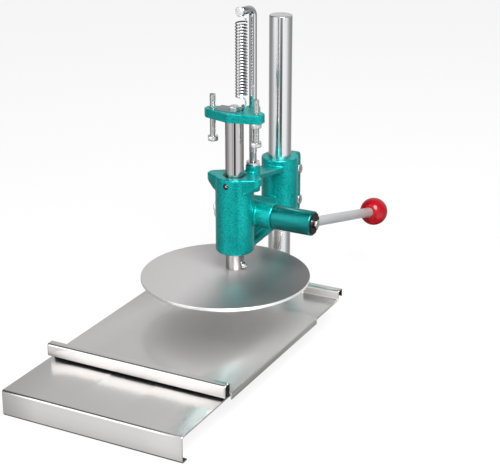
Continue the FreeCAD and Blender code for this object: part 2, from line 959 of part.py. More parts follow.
def pinion_outline():
    """The closed outline of the pinion, tooth by tooth, the first one at the rack."""
    teeth = round(S.pinion_teeth.value)
    pitch_radius = PITCH_RADIUS.value
    pressure = math.radians(20)
    base = pitch_radius * math.cos(pressure)
    root = pitch_radius - 1.25 * S.gear_module.value
    tip = PINION_TIP.value
    thin = S.rack_backlash.value / (4 * pitch_radius)
    half = math.pi / (2 * teeth) - thin + math.tan(pressure) - pressure
    step = 2 * math.pi / teeth
    edges = []
    for number in range(teeth):
        middle = number * step - math.pi / 2
        rising = involute_flank(base, tip, middle - half, 1)
        falling = involute_flank(base, tip, middle + half, -1)
        foot = rising[0] * (root / base)
        heel = falling[0] * (root / base)
        crown = Vector(tip * math.cos(middle), tip * math.sin(middle), 0)
        floor = middle + step / 2
        valley = Vector(root * math.cos(floor), root * math.sin(floor), 0)
        turn = Rotation(Vector(0, 0, 1), math.degrees(step))
        edges.append(Part.LineSegment(foot, rising[0]).toShape())
        edges.append(Part.Arc(*rising).toShape())
        edges.append(Part.Arc(rising[2], crown, falling[2]).toShape())
        edges.append(Part.Arc(*falling[::-1]).toShape())
        edges.append(Part.LineSegment(falling[0], heel).toShape())
        edges.append(Part.Arc(heel, valley, turn.multVec(foot)).toShape())
    return Part.Wire(edges)


def make_pinion_shaft():
    """Pinion and shaft in one piece, a tooth pointing at the rack at rest."""
    face = S.pinion_face.value
    teeth = Part.Face(pinion_outline()).extrude(Vector(0, 0, face))
    gear = doc.addObject("Part::Feature", "pinion_teeth_solid")
    gear.Shape = teeth
    put(gear, (-S.pinion_face / 2, PINION_REAR, S.pinion_height), ALONG_X)
    collar = S.collar_diameter / 2
    left = -S.housing_left - S.cap_flange - S.slide_gap
    left_collar = S.cap_plug - S.housing_left + S.slide_gap
    right_collar = S.housing_right - S.shaft_bush_length - S.slide_gap
    right = HUB_END - S.shaft_end_gap
    left_tap = S.bolt_radius + S.static_fit
    right_tap = S.hub_bolt_radius + S.static_fit
    deep = S.bolt_radius * 5
    profile = [
        (left_tap, left),
        (JOURNAL, left),
        (JOURNAL, left_collar),
        (collar, left_collar),
        (collar, right_collar),
        (JOURNAL, right_collar),
        (JOURNAL, right),
        (right_tap, right),
        (right_tap, right - deep),
        (0, right - deep),
        (0, left + deep),
        (left_tap, left + deep),
    ]
    shaft = turned("shaft_bar", profile, (0, PINION_REAR, S.pinion_height), ALONG_X)
    whole = fused("pinion_and_bar", gear, shaft)
    node("pinion_shaft", cut("pinion_shaft_cut", whole, hub_pin_bar("pin_hole", S.static_fit)))


def hub_pin_bar(name, gap):
    """The bar of the pin that locks the hub to the shaft."""
    radius = S.hub_pin_radius + gap
    length = S.hub_radius * 2 - 2
    lift = S.hub_pin_lift
    bar = cylinder(name, radius, length)
    turn = Rotation(Vector(1, 0, 0), 90 - lift.value)
    centre = (HUB_START + S.hub_pin_setback, PINION_REAR, S.pinion_height)
    half = length / 2
    at = (centre[0], centre[1] + half * cosine(lift), centre[2] - half * sine(lift))
    return put(bar, at, turn)


def make_hub():
    """Lever hub with its pin, washer and end bolt."""
    centre = (HUB_START, PINION_REAR, S.pinion_height)
    radius = S.hub_radius
    profile = [
        (0, 0),
        (radius - 0.6, 0),
        (radius, 0.6),
        (radius, S.hub_length - 1.6),
        (radius - 1.6, S.hub_length),
        (0, S.hub_length),
    ]
    bar = turned("hub_bar", profile, centre, ALONG_X)
    depth = S.hub_length - S.shaft_end_gap + S.static_fit
    bore = cylinder("hub_bore", JOURNAL + S.static_fit, depth, centre, ALONG_X)
    bolt_hole = cylinder(
        "hub_bolt_hole", S.hub_bolt_radius + S.screw_clearance, S.hub_length + 1, centre, ALONG_X
    )
    rod_hole = lever_frame(
        cylinder("hub_rod_hole", S.rod_diameter / 2 + S.static_fit, radius + S.rod_tail + 2),
        -S.rod_tail - S.static_fit,
    )
    hub = cut(
        "hub_cut", bar, bore, bolt_hole, rod_hole, hub_pin_bar("hub_pin_hole", S.static_fit)
    )
    node("lever_hub", hub)
    node("hub_pin", hub_pin_bar("hub_pin_body", 0))
    node("hub_washer", toothed_washer())
    head_seat = HUB_END + S.hub_washer_gauge + S.static_fit * 2
    length = S.shaft_end_gap + S.hub_washer_gauge + S.hub_bolt_radius * 4
    end_bolt = bolt(
        "hub_bolt_body",
        S.hub_bolt_radius,
        S.hub_bolt_flats,
        S.hub_bolt_head,
        length,
        (head_seat, PINION_REAR, S.pinion_height),
        ALONG_X,
    )
    node("hub_bolt", end_bolt)


def toothed_washer():
    """A lock washer with square notches round its rim."""
    start = (HUB_END + S.static_fit, PINION_REAR, S.pinion_height)
    disc = cylinder("washer_disc", S.hub_washer_radius, S.hub_washer_gauge, start, ALONG_X)
    hole = cylinder(
        "washer_hole", S.hub_bolt_radius + S.screw_clearance, S.hub_washer_gauge, start, ALONG_X
    )
    count = round(S.hub_washer_notches.value)
    notches = []
    for number in range(count):
        angle = math.radians(360 * number / count)
        reach = S.hub_washer_radius
        at = (
            start[0],
            start[1] + reach * math.cos(angle),
            start[2] + reach * math.sin(angle),
        )
        notch = cylinder("washer_notch", reach * 0.11, S.hub_washer_gauge, at, ALONG_X)
        notches.append(notch)
    return cut("washer_cut", disc, hole, fused("washer_notches", *notches))


def lever_frame(thing, along):
    """Stand a piece on the lever's axis, at a distance from the hub's axis."""
    droop = S.lever_angle
    at = (
        ROD_SIDE,
        PINION_REAR + along * cosine(droop),
        S.pinion_height - along * sine(droop),
    )
    put(thing, at, Rotation(Vector(-1, 0, 0), 90 + droop.value))
    bind(thing, "Placement.Rotation.Angle", 90 + droop)
    return thing


def make_lever_rod():
    """Steel rod that crosses the hub, with a spigot for the ball knob."""
    radius = S.rod_diameter / 2
    shoulder = S.lever_reach - leg(S.knob_radius, S.knob_flat_radius)
    tip = shoulder + S.rod_spigot_length
    start = -S.rod_tail
    spigot = S.rod_spigot_radius
    profile = [
        (0, start),
        (radius - 0.8, start),
        (radius, start + 0.8),
        (radius, shoulder - 0.8),
        (radius - 0.8, shoulder),
        (spigot, shoulder),
        (spigot, tip - 1),
        (spigot - 1, tip),
        (0, tip),
    ]
    rod = lever_frame(turned("lever_rod_bar", profile), as_size(0))
    start = (ROD_SIDE - S.rod_diameter, PINION_REAR, S.pinion_height)
    hole = cylinder(
        "rod_bolt_hole", S.hub_bolt_radius + S.screw_clearance, S.rod_diameter * 2, start, ALONG_X
    )
    node("lever_rod", cut("lever_rod_cut", rod, hole))


def make_knob():
    """Ball knob with a flat where the rod meets it."""
    sphere = doc.addObject("Part::Sphere", "knob_sphere")
    bind(sphere, "Radius", S.knob_radius)
    flat = leg(S.knob_radius, S.knob_flat_radius)
    slice_away = box(
        "knob_slice",
        (-S.knob_radius, -S.knob_radius, -S.knob_radius),
        (S.knob_radius, S.knob_radius, S.static_fit - flat),
    )
    bore = cylinder(
        "knob_bore",
        S.rod_spigot_radius + S.static_fit,
        S.rod_spigot_length + 1,
        (0, 0, -flat),
    )
    knob = cut("knob_cut", sphere, slice_away, bore)
    node("ball_knob", lever_frame(knob, S.lever_reach))


def make_shaft_retainer():
    """Washer and bolt on the left end of the pinion shaft."""
    start = -S.housing_left - S.cap_flange - S.slide_gap - S.static_fit
    centre = (start, PINION_REAR, S.pinion_height)
    disc = cylinder(
        "retainer_disc", S.shaft_washer_radius, S.shaft_washer_gauge, centre, AGAINST_X
    )
    hole = cylinder(
        "retainer_hole", S.bolt_radius + S.screw_clearance, S.shaft_washer_gauge, centre, AGAINST_X
    )
    node("shaft_washer", cut("retainer_cut", disc, hole))
    seat = start - S.shaft_washer_gauge - S.static_fit
    end_bolt = bolt(
        "retainer_bolt",
        S.bolt_radius,
        S.bolt_flats,
        S.bolt_head,
        S.shaft_washer_gauge + S.bolt_radius * 4,
        (seat, PINION_REAR, S.pinion_height),
        AGAINST_X,
    )
    node("shaft_bolt", end_bolt)


def ear_flange():
    """The diamond flange on top of the front barrel, its ears thinning outward."""
    reach = S.ear_reach
    half = S.ear_width / 2
    shoulder = reach - 4
    plan = free_sketch(
        "flange_plan",
        [
            (0, -S.flange_apex),
            (shoulder, -half - 4),
            (reach, -half),
            (reach, half),
            (shoulder, half + 4),
            (S.barrel_radius * 0.75, S.barrel_radius * 0.75),
            (-S.barrel_radius * 0.75, S.barrel_radius * 0.75),
            (-shoulder, half + 4),
            (-reach, half),
            (-reach, -half),
            (-shoulder, -half - 4),
        ],
        (0, 0, S.head_top - S.ear_depth - S.ear_slope),
    )
    low = S.head_top - S.ear_depth
    front = free_sketch(
        "flange_front",
        [
            (-reach, S.head_top),
            (-reach, low),
            (-S.barrel_radius + 1, low - S.ear_slope),
            (S.barrel_radius - 1, low - S.ear_slope),
            (reach, low),
            (reach, S.head_top),
        ],
        turn=FRONT_VIEW,
    )
    across = slab("flange_front_slab", front, S.flange_apex * 3, symmetric=True)
    up = slab("flange_plan_slab", plan, S.ear_depth + S.ear_slope)
    return common("ear_flange", up, across)


def side_slab(name, profile, width):
    """A profile of depth and height thickened to both sides of the middle plane."""
    sketch = free_sketch(f"{name}_profile", profile, turn=SIDE_VIEW)
    return slab(name, sketch, width, symmetric=True)


def web_block():
    """Upper arm, lower rib and the thin web that joins them to both barrels."""
    front = S.barrel_radius * 0.5
    rear = S.column_reach - S.clamp_radius * 0.6
    arm = [
        (front, S.arm_front_top),
        (rear, S.arm_rear_top),
        (rear, S.arm_rear_top - S.arm_depth),
        (front, S.arm_front_top - S.arm_depth),
    ]
    rib = [
        (front, S.rib_front_bottom),
        (rear, S.rib_rear_bottom),
        (rear, S.rib_rear_bottom + S.rib_depth),
        (front, S.rib_front_bottom + S.rib_depth),
    ]
    web = [
        (front, S.rib_front_bottom + 1),
        (rear, S.rib_rear_bottom + 1),
        (rear, S.web_rear_top),
        (front, S.web_front_top),
    ]
    return fused(
        "web_block",
        side_slab("upper_arm", arm, S.rib_width),
        side_slab("lower_rib", rib, S.rib_width),
        side_slab("thin_web", web, S.web_thickness),
    )


def clamp_ears():
    """The two ears behind the column barrel, still in one block."""
    half = S.clamp_ear_half
    rear = S.column_reach + S.clamp_ear_reach
    low = S.clamp_bottom + 6.5
    block = box("clamp_ear_block", (-half, S.column_reach, low), (half, rear, S.clamp_top - 2))
    radius = S.clamp_ear_corner
    back = rear.value

    def at_back(edge):
        first = edge.Vertexes[0].Point
        last = edge.Vertexes[-1].Point
        return abs(first.y - back) < 0.01 and abs(last.y - back) < 0.01 and (
            abs(first.z - last.z) < 0.01
        )

    return rounded("clamp_ears", block, radius, at_back)


def casting_tools():
    """Everything that is bored, drilled or sawn out of the head casting."""
    ram_bore = RAM_RADIUS + S.ram_bore_gap
    bush = S.ram_bush_radius + S.static_fit
    tall = S.head_top - S.barrel_bottom
    side = (PINION_REAR, S.pinion_height)
    behind = (S.column_reach,)
    tools = [
        cylinder("ram_bore", ram_bore, tall + 6, (0, 0, S.barrel_bottom - 3)),
        cylinder("lower_seat", bush, S.ram_bush_length + 1, (0, 0, S.barrel_bottom - 1)),
        cylinder(
            "upper_seat", bush, S.ram_bush_length + 1, (0, 0, S.head_top - S.ram_bush_length)
        ),
        cylinder(
            "pinion_bore",
            PINION_BORE,
            S.housing_left + S.pinion_face / 2 + 3 + 1,
            (-S.housing_left - 1, *side),
            ALONG_X,
        ),
        cylinder(
            "shaft_bore",
            S.shaft_bush_radius + S.static_fit,
            S.housing_right + 1,
            (0, *side),
            ALONG_X,
        ),
        cylinder(
            "column_bore",
            S.column_diameter / 2 + S.running_fit,
            S.clamp_top - S.clamp_bottom + 6,
            (0, *behind, S.clamp_bottom - 3),
        ),
        box(
            "clamp_slot",
            (-S.clamp_slot / 2, S.column_reach, S.clamp_bottom - 1),
            (S.clamp_slot / 2, S.column_reach + S.clamp_ear_reach + 1, S.clamp_top + 2),
        ),
        cylinder(
            "guide_hole",
            S.guide_diameter / 2 + S.static_fit,
            S.rod_boss_top - S.guide_bottom + 2,
            (S.guide_side, S.guide_rear, S.guide_bottom - 1),
        ),
        cylinder(
            "bush_screw_hole",
            S.bush_screw_radius + S.static_fit,
            S.flange_apex - S.ram_bush_radius,
            (0, -S.ram_bush_radius, S.head_top - S.bush_screw_drop),
            AGAINST_Y,
        ),
    ]
    for height in (S.clamp_bolt_low, S.clamp_bolt_high):
        tools.append(
            cylinder(
                "clamp_bolt_hole",
                S.bolt_radius + S.screw_clearance,
                S.clamp_ear_half * 3,
                (-S.clamp_ear_half * 1.5, S.column_reach + S.clamp_bolt_behind, height),
                ALONG_X,
            )
        )
    return tools


def make_casting():
    """Head casting: ram barrel, pinion housing, web, arm and column clamp."""
    barrel = cylinder(
        "barrel_bar", S.barrel_radius, S.head_top - S.barrel_bottom, (0, 0, S.barrel_bottom)
    )
    barrel_foot = S.barrel_bottom.value
    barrel = rounded(
        "barrel",
        barrel,
        S.barrel_rounding,
        lambda e: e.Closed and abs(e.Vertexes[0].Point.z - barrel_foot) < 0.01,
    )
    housing = cylinder(
        "pinion_housing",
        S.housing_radius,
        S.housing_left + S.housing_right,
        (-S.housing_left, PINION_REAR, S.pinion_height),
        ALONG_X,
    )
    clamp = cylinder(
        "clamp_barrel",
        S.clamp_radius,
        S.clamp_top - S.clamp_bottom,
        (0, S.column_reach, S.clamp_bottom),
    )
    boss = cylinder(
        "rod_boss",
        S.rod_boss_radius,
        S.rod_boss_top - S.guide_bottom + 4,
        (S.guide_side, S.guide_rear, S.guide_bottom - 4),
    )
    web = web_block()
    solid = fused("casting_block", barrel, ear_flange(), housing, clamp, clamp_ears(), boss, web)
    node("head_casting", cut("casting_cut", solid, *casting_tools()))


def sleeve(name, outer, inner, length, at, turn=UPRIGHT):
    """A plain bush."""
    tube = [(inner, 0), (outer, 0), (outer, length), (inner, length)]
    return turned(name, tube, at, turn)


def make_bushes():
    """Bronze bushes of the ram and of the pinion shaft, and the cap on the left."""
    running = RAM_RADIUS + S.running_fit
    outer = S.ram_bush_radius
    length = S.ram_bush_length - S.static_fit
    lower = sleeve("lower_bush_body", outer, running, length, (0, 0, S.barrel_bottom))
    node("lower_ram_bush", lower)
    top = S.head_top - S.ram_bush_length + S.static_fit
    node("upper_ram_bush", sleeve("upper_bush_body", outer, running, length, (0, 0, top)))
    inner = JOURNAL + S.running_fit
    right = (S.housing_right - S.shaft_bush_length, PINION_REAR, S.pinion_height)
    bush = sleeve(
        "right_bush_body", S.shaft_bush_radius, inner, S.shaft_bush_length, right, ALONG_X
    )
    node("right_shaft_bush", bush)
    left = (-S.housing_left - S.cap_flange, PINION_REAR, S.pinion_height)
    bush_length = S.cap_flange + S.cap_plug
    bush = sleeve("left_bush_body", S.shaft_bush_radius, inner, bush_length, left, ALONG_X)
    node("left_shaft_bush", bush)
    seat = S.shaft_bush_radius + S.static_fit
    plug = PINION_BORE - S.static_fit
    profile = [
        (seat, 0),
        (S.housing_radius - 1, 0),
        (S.housing_radius, 1),
        (S.housing_radius, S.cap_flange - S.static_fit),
        (plug, S.cap_flange - S.static_fit),
        (plug, S.cap_flange + S.cap_plug),
        (seat, S.cap_flange + S.cap_plug),
    ]
    node("housing_cap", turned("cap_body", profile, left, ALONG_X))


def make_bush_screw():
    """Socket screw at the front that holds the upper bush."""
    radius = S.bush_screw_radius
    length = S.flange_apex - S.ram_bush_radius - 2
    socket = S.hex_socket / 2
    profile = [
        (0, 0),
        (radius - 1, 0),
        (radius, 1),
        (radius, length - 0.8),
        (radius - 0.8, length),
        (socket, length),
        (socket, length * 0.5),
        (0, length * 0.5),
    ]
    at = (0, -S.ram_bush_radius - S.static_fit, S.head_top - S.bush_screw_drop)
    node("bush_screw", turned("bush_screw_body", profile, at, AGAINST_Y))


def make_clamp_bolts():
    """Two bolts and nuts that close the clamp on the column."""
    bolts = []
    nuts = []
    behind = S.column_reach + S.clamp_bolt_behind
    half = S.clamp_ear_half + S.static_fit
    length = half * 2 + S.bolt_nut + 3
    for height in (S.clamp_bolt_low, S.clamp_bolt_high):
        bolts.append(
            bolt(
                "clamp_bolt",
                S.bolt_radius,
                S.bolt_flats,
                S.bolt_head,
                length,
                (half, behind, height),
                ALONG_X,
            )
        )
        nuts.append(
            nut(
                "clamp_nut",
                S.bolt_radius + S.static_fit,
                S.bolt_flats,
                S.bolt_nut,
                (-half, behind, height),
                AGAINST_X,
            )
        )
    node("clamp_bolts", group("clamp_bolt_group", bolts))
    node("clamp_nuts", group("clamp_nut_group", nuts))


def make_guide_rod():
    """Guide rod, bent over at the top, with a grooved end for the spring."""
    radius = S.guide_diameter / 2
    bend = S.guide_bend
    upright = cylinder("guide_upright", radius, S.guide_top - bend - S.guide_bottom)
    put(upright, (0, 0, S.guide_bottom))
    elbow = doc.addObject("Part::Torus", "guide_elbow")
    bind(elbow, "Radius1", bend)
    bind(elbow, "Radius2", radius)
    elbow.Angle3 = 90
    put(elbow, (bend, 0, S.guide_top - bend), Rotation(Vector(0, 1, 1), 180))
    groove_start = S.arm_groove - S.arm_groove_width / 2
    groove_end = S.arm_groove + S.arm_groove_width / 2
    knob_end = groove_end + S.arm_knob_length
    knob = S.arm_knob_radius
    neck = S.arm_groove_radius
    profile = [
        (0, bend),
        (radius, bend),
        (radius, groove_start),
        (neck, groove_start),
        (neck, groove_end),
        (knob - 0.8, groove_end),
        (knob, groove_end + 0.8),
        (knob, knob_end - 0.8),
        (knob - 0.8, knob_end),
        (0, knob_end),
    ]
    arm = turned("guide_arm", profile, (0, 0, S.guide_top), ALONG_X)
    rod = fused("guide_rod_body", upright, elbow, arm)
    turn = Rotation(Vector(0, 0, 1), S.arm_heading.value)
    put(rod, (S.guide_side, S.guide_rear, 0), turn)
    bind(rod, "Placement.Rotation.Angle", S.arm_heading)
    node("guide_rod", rod)
    jam_nut = nut(
        "guide_nut_body",
        radius + S.static_fit,
        S.guide_nut_flats,
        S.guide_nut_height,
        (S.guide_side, S.guide_rear, S.rod_boss_top + S.static_fit),
        UPRIGHT,
    )
    node("guide_nut", jam_nut)


def make_crossbar():
    """Cast crossbar on top of the ram, with an eye that slides on the guide rod."""
    reach = S.bar_reach
    half = S.bar_end_width / 2
    shoulder = reach - 5
    eye = S.bar_eye_radius
    plan = free_sketch(
        "bar_plan",
        [
            (0, -S.bar_apex),
            (shoulder, -half),
            (reach, 5 - half),
            (reach, half - 4),
            (shoulder, half),
            (S.guide_side + eye * 0.7, S.guide_rear - eye * 0.3),
            (S.guide_side, S.guide_rear),
            (S.guide_side - eye, S.guide_rear - eye * 0.3),
            (-shoulder, half),
            (-reach, half - 4),
            (-reach, 5 - half),
            (-shoulder, -half),
        ],
        (0, 0, S.ram_shoulder),
    )
    bar = slab("bar_slab", plan, S.bar_thickness)
    lug = cylinder(
        "bar_lug", eye, S.bar_thickness, (S.guide_side, S.guide_rear, S.ram_shoulder)
    )
    solid = fused("bar_block", bar, lug)
    low = S.ram_shoulder - 1
    through = S.bar_thickness + 2
    tools = [
        cylinder("spigot_hole", S.ram_spigot_diameter / 2 + S.static_fit, through, (0, 0, low)),
        cylinder(
            "guide_eye",
            S.guide_diameter / 2 + S.guide_clearance,
            through,
            (S.guide_side, S.guide_rear, low),
        ),
    ]
    for side in (-1, 1):
        tools.append(
            cylinder(
                "stop_hole",
                S.bolt_radius + S.running_fit,
                through,
                (S.stop_side * side, 0, low),
            )
        )
    node("crossbar", cut("bar_cut", solid, *tools))
    crossbar_bolt = bolt(
        "crossbar_bolt_body",
        S.bolt_radius,
        S.bolt_flats,
        S.bolt_head,
        S.ram_thread_depth,
        (0, 0, PLATE_TOP + S.static_fit * 2),
        UPRIGHT,
    )
    node("crossbar_bolt", crossbar_bolt)


def make_spring_plate():
    """Plate under the crossbar bolt, its ear bent up to take the spring's hook."""
    body, planes = new_body("spring_plate_body")
    ear = SPRING_X + S.plate_ear_offset
    low = BAR_TOP + S.static_fit
    gauge = S.plate_gauge
    profile = [
        (-S.plate_left, low),
        (ear + gauge / 2, low),
        (ear + gauge / 2, low + gauge + S.plate_ear_height),
        (ear - gauge / 2, low + gauge + S.plate_ear_height),
        (ear - gauge / 2, low + gauge),
        (-S.plate_left, low + gauge),
    ]
    sketch = body_sketch(
        body, planes["XZ_Plane"], "plate_profile", profile, -S.plate_rear
    )
    wide = S.plate_front + S.plate_rear
    padded(body, sketch, "plate_strip", wide)
    ear_half = S.plate_ear_width / 2
    upper = low + gauge
    top = upper + S.plate_ear_height + 1
    for name, start, end in (
        ("front", -S.plate_front - 1, SPRING_Y - ear_half),
        ("rear", SPRING_Y + ear_half, S.plate_rear + 1),
    ):
        beside = [(start, upper), (end, upper), (end, top), (start, top)]
        sketch = body_sketch(body, planes["YZ_Plane"], f"{name}_ear_outline", beside, ear - gauge)
        pocketed(body, sketch, f"{name}_ear_cut", gauge * 2, backward=True)
    bolt_hole = cylinder(
        "plate_bolt_hole", S.bolt_radius + S.screw_clearance, gauge + 2, (0, 0, low - 1)
    )
    hook_hole = cylinder(
        "plate_hook_hole",
        S.plate_hole_radius,
        gauge * 4,
        (ear - gauge * 2, SPRING_Y, S.spring_hook_bottom - 0.4),
        ALONG_X,
    )
    node("spring_plate", cut("plate_cut", body, bolt_hole, hook_hole))


def make_stops():
    """Two stop bolts in the crossbar, heads down, and the lock nut of the right one."""
    for name, side in (("left_stop_bolt", -1), ("right_stop_bolt", 1)):
        seat = S.stop_head_top
        stop = bolt(
            f"{name}_body",
            S.bolt_radius,
            S.bolt_flats,
            S.stop_head,
            S.stop_top - seat,
            (S.stop_side * side, 0, seat),
            DOWNWARD,
        )
        node(name, stop)
    height = S.bolt_nut
    lock = nut(
        "lock_nut_body",
        S.bolt_radius + S.running_fit,
        S.bolt_flats,
        height,
        (S.stop_side, 0, S.ram_shoulder - S.static_fit),
        DOWNWARD,
    )
    node("lock_nut", lock)


def arc_between(start, heading, end):
    """The arc that leaves a point along a heading and ends at another point."""
    chord = end - start
    length = chord.Length
    straight = chord * (1 / length)
    turn = heading.getAngle(straight)
    if turn < 1e-6:
        return Part.LineSegment(start, end).toShape()
    aside = heading - straight * heading.dot(straight)
    middle = start + chord * 0.5 + aside.normalize() * (length / 2 * math.tan(turn / 2))
    return Part.Arc(start, middle, end).toShape()


def biarc(start, heading, end, leaving):
    """Two tangent arcs from one point and heading to another."""
    chord = end - start
    both = heading + leaving
    square = 2 * (1 - heading.dot(leaving))
    across = chord.dot(both)
    if square < 1e-9:
        reach = chord.dot(chord) / (4 * chord.dot(leaving))
    else:
        reach = (-across + math.sqrt(across**2 + square * chord.dot(chord))) / square
    middle = (start + heading * reach + end - leaving * reach) * 0.5
    back = arc_between(end, leaving * -1, middle)
    return [arc_between(start, heading, middle), back]


def coil_stop(angle, height, radius, climb):
    """A point of the left-hand coil and the way the wire runs there."""
    turn = math.radians(angle)
    point = Vector(radius * math.cos(turn), radius * math.sin(turn), height)
    heading = Vector(radius * math.sin(turn), -radius * math.cos(turn), climb)
    return point, heading.normalize()


def spring_stations():
    """Points and headings of the wire, from the lower hook's tip to the upper one's."""
    radius = COIL_RADIUS.value
    bend = S.spring_bend.value
    low = S.spring_bottom.value
    high = S.guide_top.value - S.spring_top_drop.value
    lead = 25.0
    sweep = 360 * S.spring_turns.value - 2 * lead
    climb = (high - low) / math.radians(sweep)
    up = Vector(0, 0, 1)
    hook = S.spring_hook_bottom.value + radius
    past = math.radians(8)
    tip = Vector(-radius * math.sin(past), 0, hook - radius * math.cos(past))
    stations = [(tip, Vector(math.cos(past), 0, -math.sin(past)))]
    stations.append((Vector(radius, 0, hook), up))
    stations.append((Vector(radius, 0, low - bend), up))
    steps = math.ceil(sweep / 90)
    for number in range(steps + 1):
        share = number / steps
        angle = -lead - sweep * share
        stations.append(coil_stop(angle, low + (high - low) * share, radius, climb))
    stations.append((Vector(radius, 0, high + bend), up))
    loop = S.arm_groove_radius.value + S.spring_wire.value / 2 + 0.1
    centre = S.guide_top.value
    stations.append((Vector(-loop, 0, centre), up))
    stations.append((Vector(loop, 0, centre), up * -1))
    stations.append((Vector(loop, 0, centre - 1.2), up * -1))
    return stations


def least_gap(wire, diameter):
    """Least free distance between stretches of a wire that lie apart along it."""
    spacing = diameter / 2
    points = wire.discretize(Distance=spacing)
    apart = math.ceil(math.pi * diameter / spacing)
    cells = {}
    size = 3 * diameter
    least = size
    for number, point in enumerate(points):
        key = tuple(math.floor(part / size) for part in point)
        cells.setdefault(key, []).append((number, point))
    for key, members in cells.items():
        near = []
        for shift in range(27):
            step = (shift % 3 - 1, shift // 3 % 3 - 1, shift // 9 - 1)
            near += cells.get(tuple(a + b for a, b in zip(key, step)), [])
        for number, point in members:
            for other, place in near:
                if other - number > apart:
                    least = min(least, point.distanceToPoint(place))
    return least - diameter


def make_spring():
    """Return spring: one unbroken wire with a hook at each end."""
    stations = spring_stations()
    edges = []
    for (start, heading), (end, leaving) in zip(stations, stations[1:]):
        edges += biarc(start, heading, end, leaving)
    path = Part.Wire(Part.sortEdges(edges)[0])
    radius = S.spring_wire.value / 2
    start, heading = stations[0]
    section = Part.Wire(Part.Circle(start, heading, radius).toShape())
    tube = path.makePipeShell([section], True, False)
    gap = least_gap(path, S.spring_wire.value)
    print(f"return spring: least gap to itself {gap:.2f} mm, length {path.Length:.0f} mm")
    expected = math.pi * radius**2 * path.Length
    print(f"return spring: volume over section times length {tube.Volume / expected:.4f}")
    spring = doc.addObject("Part::Feature", "spring_tube")
    spring.Shape = Part.Solid(tube) if tube.ShapeType == "Shell" else tube
    put(spring, (SPRING_X, SPRING_Y, 0), Rotation(Vector(0, 0, 1), S.arm_heading.value + 90))
    bind(spring, "Placement.Rotation.Angle", S.arm_heading + 90)
    node("return_spring", spring)


def check_and_write():
    """Check every object of the document and write one file for each node."""
    doc.recompute()
    for thing in doc.Objects:
        if "Invalid" in thing.State or "Error" in thing.State:
            raise RuntimeError(f"{thing.Name} has failed: {thing.State}")
    os.makedirs("parts", exist_ok=True)
    total = 0
    for piece in nodes:
        shape = piece.Shape
        if shape.isNull() or not shape.isValid() or not shape.Solids:
            raise RuntimeError(f"{piece.Label} has no valid solid")
        shape.exportStep(f"parts/{piece.Label}.step")
        total += len(shape.Solids)
        size = shape.BoundBox
        print(
            f"{piece.Label:18s} solids {len(shape.Solids)} volume {shape.Volume / 1000:8.2f} cm3"
            f" z {size.ZMin:7.1f} to {size.ZMax:7.1f}"
        )
    print(f"{len(nodes)} nodes, {total} solids, ram travel {RAM_TRAVEL.value:.2f} mm")


make_base_sheet()
make_base_screws()
make_foot()
make_column()
make_tray()
make_disc()
make_ram()
make_pinion_shaft()
make_hub()
make_lever_rod()
make_knob()
make_shaft_retainer()
make_casting()
make_bushes()
make_bush_screw()
make_clamp_bolts()
make_guide_rod()
make_crossbar()
make_spring_plate()
make_stops()
make_spring()
check_and_write()
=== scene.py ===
"""Looks of a hand lever press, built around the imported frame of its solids.

Lengths are millimetres in the part's own frame unless a name ends in _m, and angles
are degrees unless a name ends in _rad. A mesh is turned into metres as it becomes an
object.
"""

import logging
import math
from collections.abc import Iterable, Sequence
from dataclasses import dataclass
from enum import Enum

import bmesh
import bpy
from bmesh.types import BMesh, BMVert
from bpy.types import ID, Material, Mesh, Node, NodeSocket, NodeTree, Object
from mathutils import Matrix, Vector


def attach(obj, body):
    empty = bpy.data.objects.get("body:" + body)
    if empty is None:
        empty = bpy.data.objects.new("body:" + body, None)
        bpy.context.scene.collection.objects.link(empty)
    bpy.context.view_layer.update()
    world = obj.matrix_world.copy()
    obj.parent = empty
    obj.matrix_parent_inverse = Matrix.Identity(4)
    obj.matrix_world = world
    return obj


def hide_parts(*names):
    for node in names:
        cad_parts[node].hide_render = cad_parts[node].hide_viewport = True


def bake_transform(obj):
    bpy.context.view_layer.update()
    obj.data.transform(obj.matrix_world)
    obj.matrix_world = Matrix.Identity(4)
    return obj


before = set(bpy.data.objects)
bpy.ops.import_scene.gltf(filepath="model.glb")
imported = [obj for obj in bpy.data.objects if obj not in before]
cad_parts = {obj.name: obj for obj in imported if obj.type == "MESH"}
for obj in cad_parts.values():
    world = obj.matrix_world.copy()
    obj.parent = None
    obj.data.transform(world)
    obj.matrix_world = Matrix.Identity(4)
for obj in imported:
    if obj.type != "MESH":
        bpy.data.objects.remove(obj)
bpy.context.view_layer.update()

Flat = tuple[float, float]
Range = tuple[float, float]
Triple = tuple[float, float, float]
Outline = list[Flat]
Colour = NodeSocket | Sequence[float]

MM = 0.001
TURN_RAD = 2 * math.pi
ROUND_STEPS = 96  # faces round a turned piece
FINE_STEPS = 128  # faces round a large or polished one
SMALL_STEPS = 48  # faces round a small one
BEND_STEPS = 12  # segments along a bend of a rod or a wire
COIL_STEPS = 36  # segments in each turn of a coil
SHARP = 32.0  # angle above which an edge stays sharp
THREAD_SHARP = 50.0  # the same for threads and rounded edges
THREAD_DEPTH = 0.55  # depth of a thread, in pitches
THREAD_FORM = ((0.0, 0.0), (0.12, 0.0), (0.5, 1.0), (0.62, 1.0))  # its rise and depth
CAST_SHARP = 60.0  # the same as SHARP for castings
CAST_KEEP = 0.6  # share of a casting's faces that stays
NOISE = (0.3, 0.7)  # range that holds most values of a noise texture
CLEAR = 0.02  # gap between pieces that would touch
PAST = 1.0  # how far a cutter runs past a face
MIX_SHARE, MIX_FIRST, MIX_SECOND, MIX_RESULT = 0, 6, 7, 2  # a mix node's colour sockets

log = logging.getLogger("lever_press")


class Grain(Enum):
    """Way in which a metal was worked: its marks in each metre along X, Y and Z."""

    ALONG_X = (6.0, 2600.0, 2600.0)
    ALONG_Z = (2600.0, 2600.0, 6.0)
    DRAWN_Z = (230.0, 230.0, 0.6)
    EVEN = (2600.0, 2600.0, 2600.0)


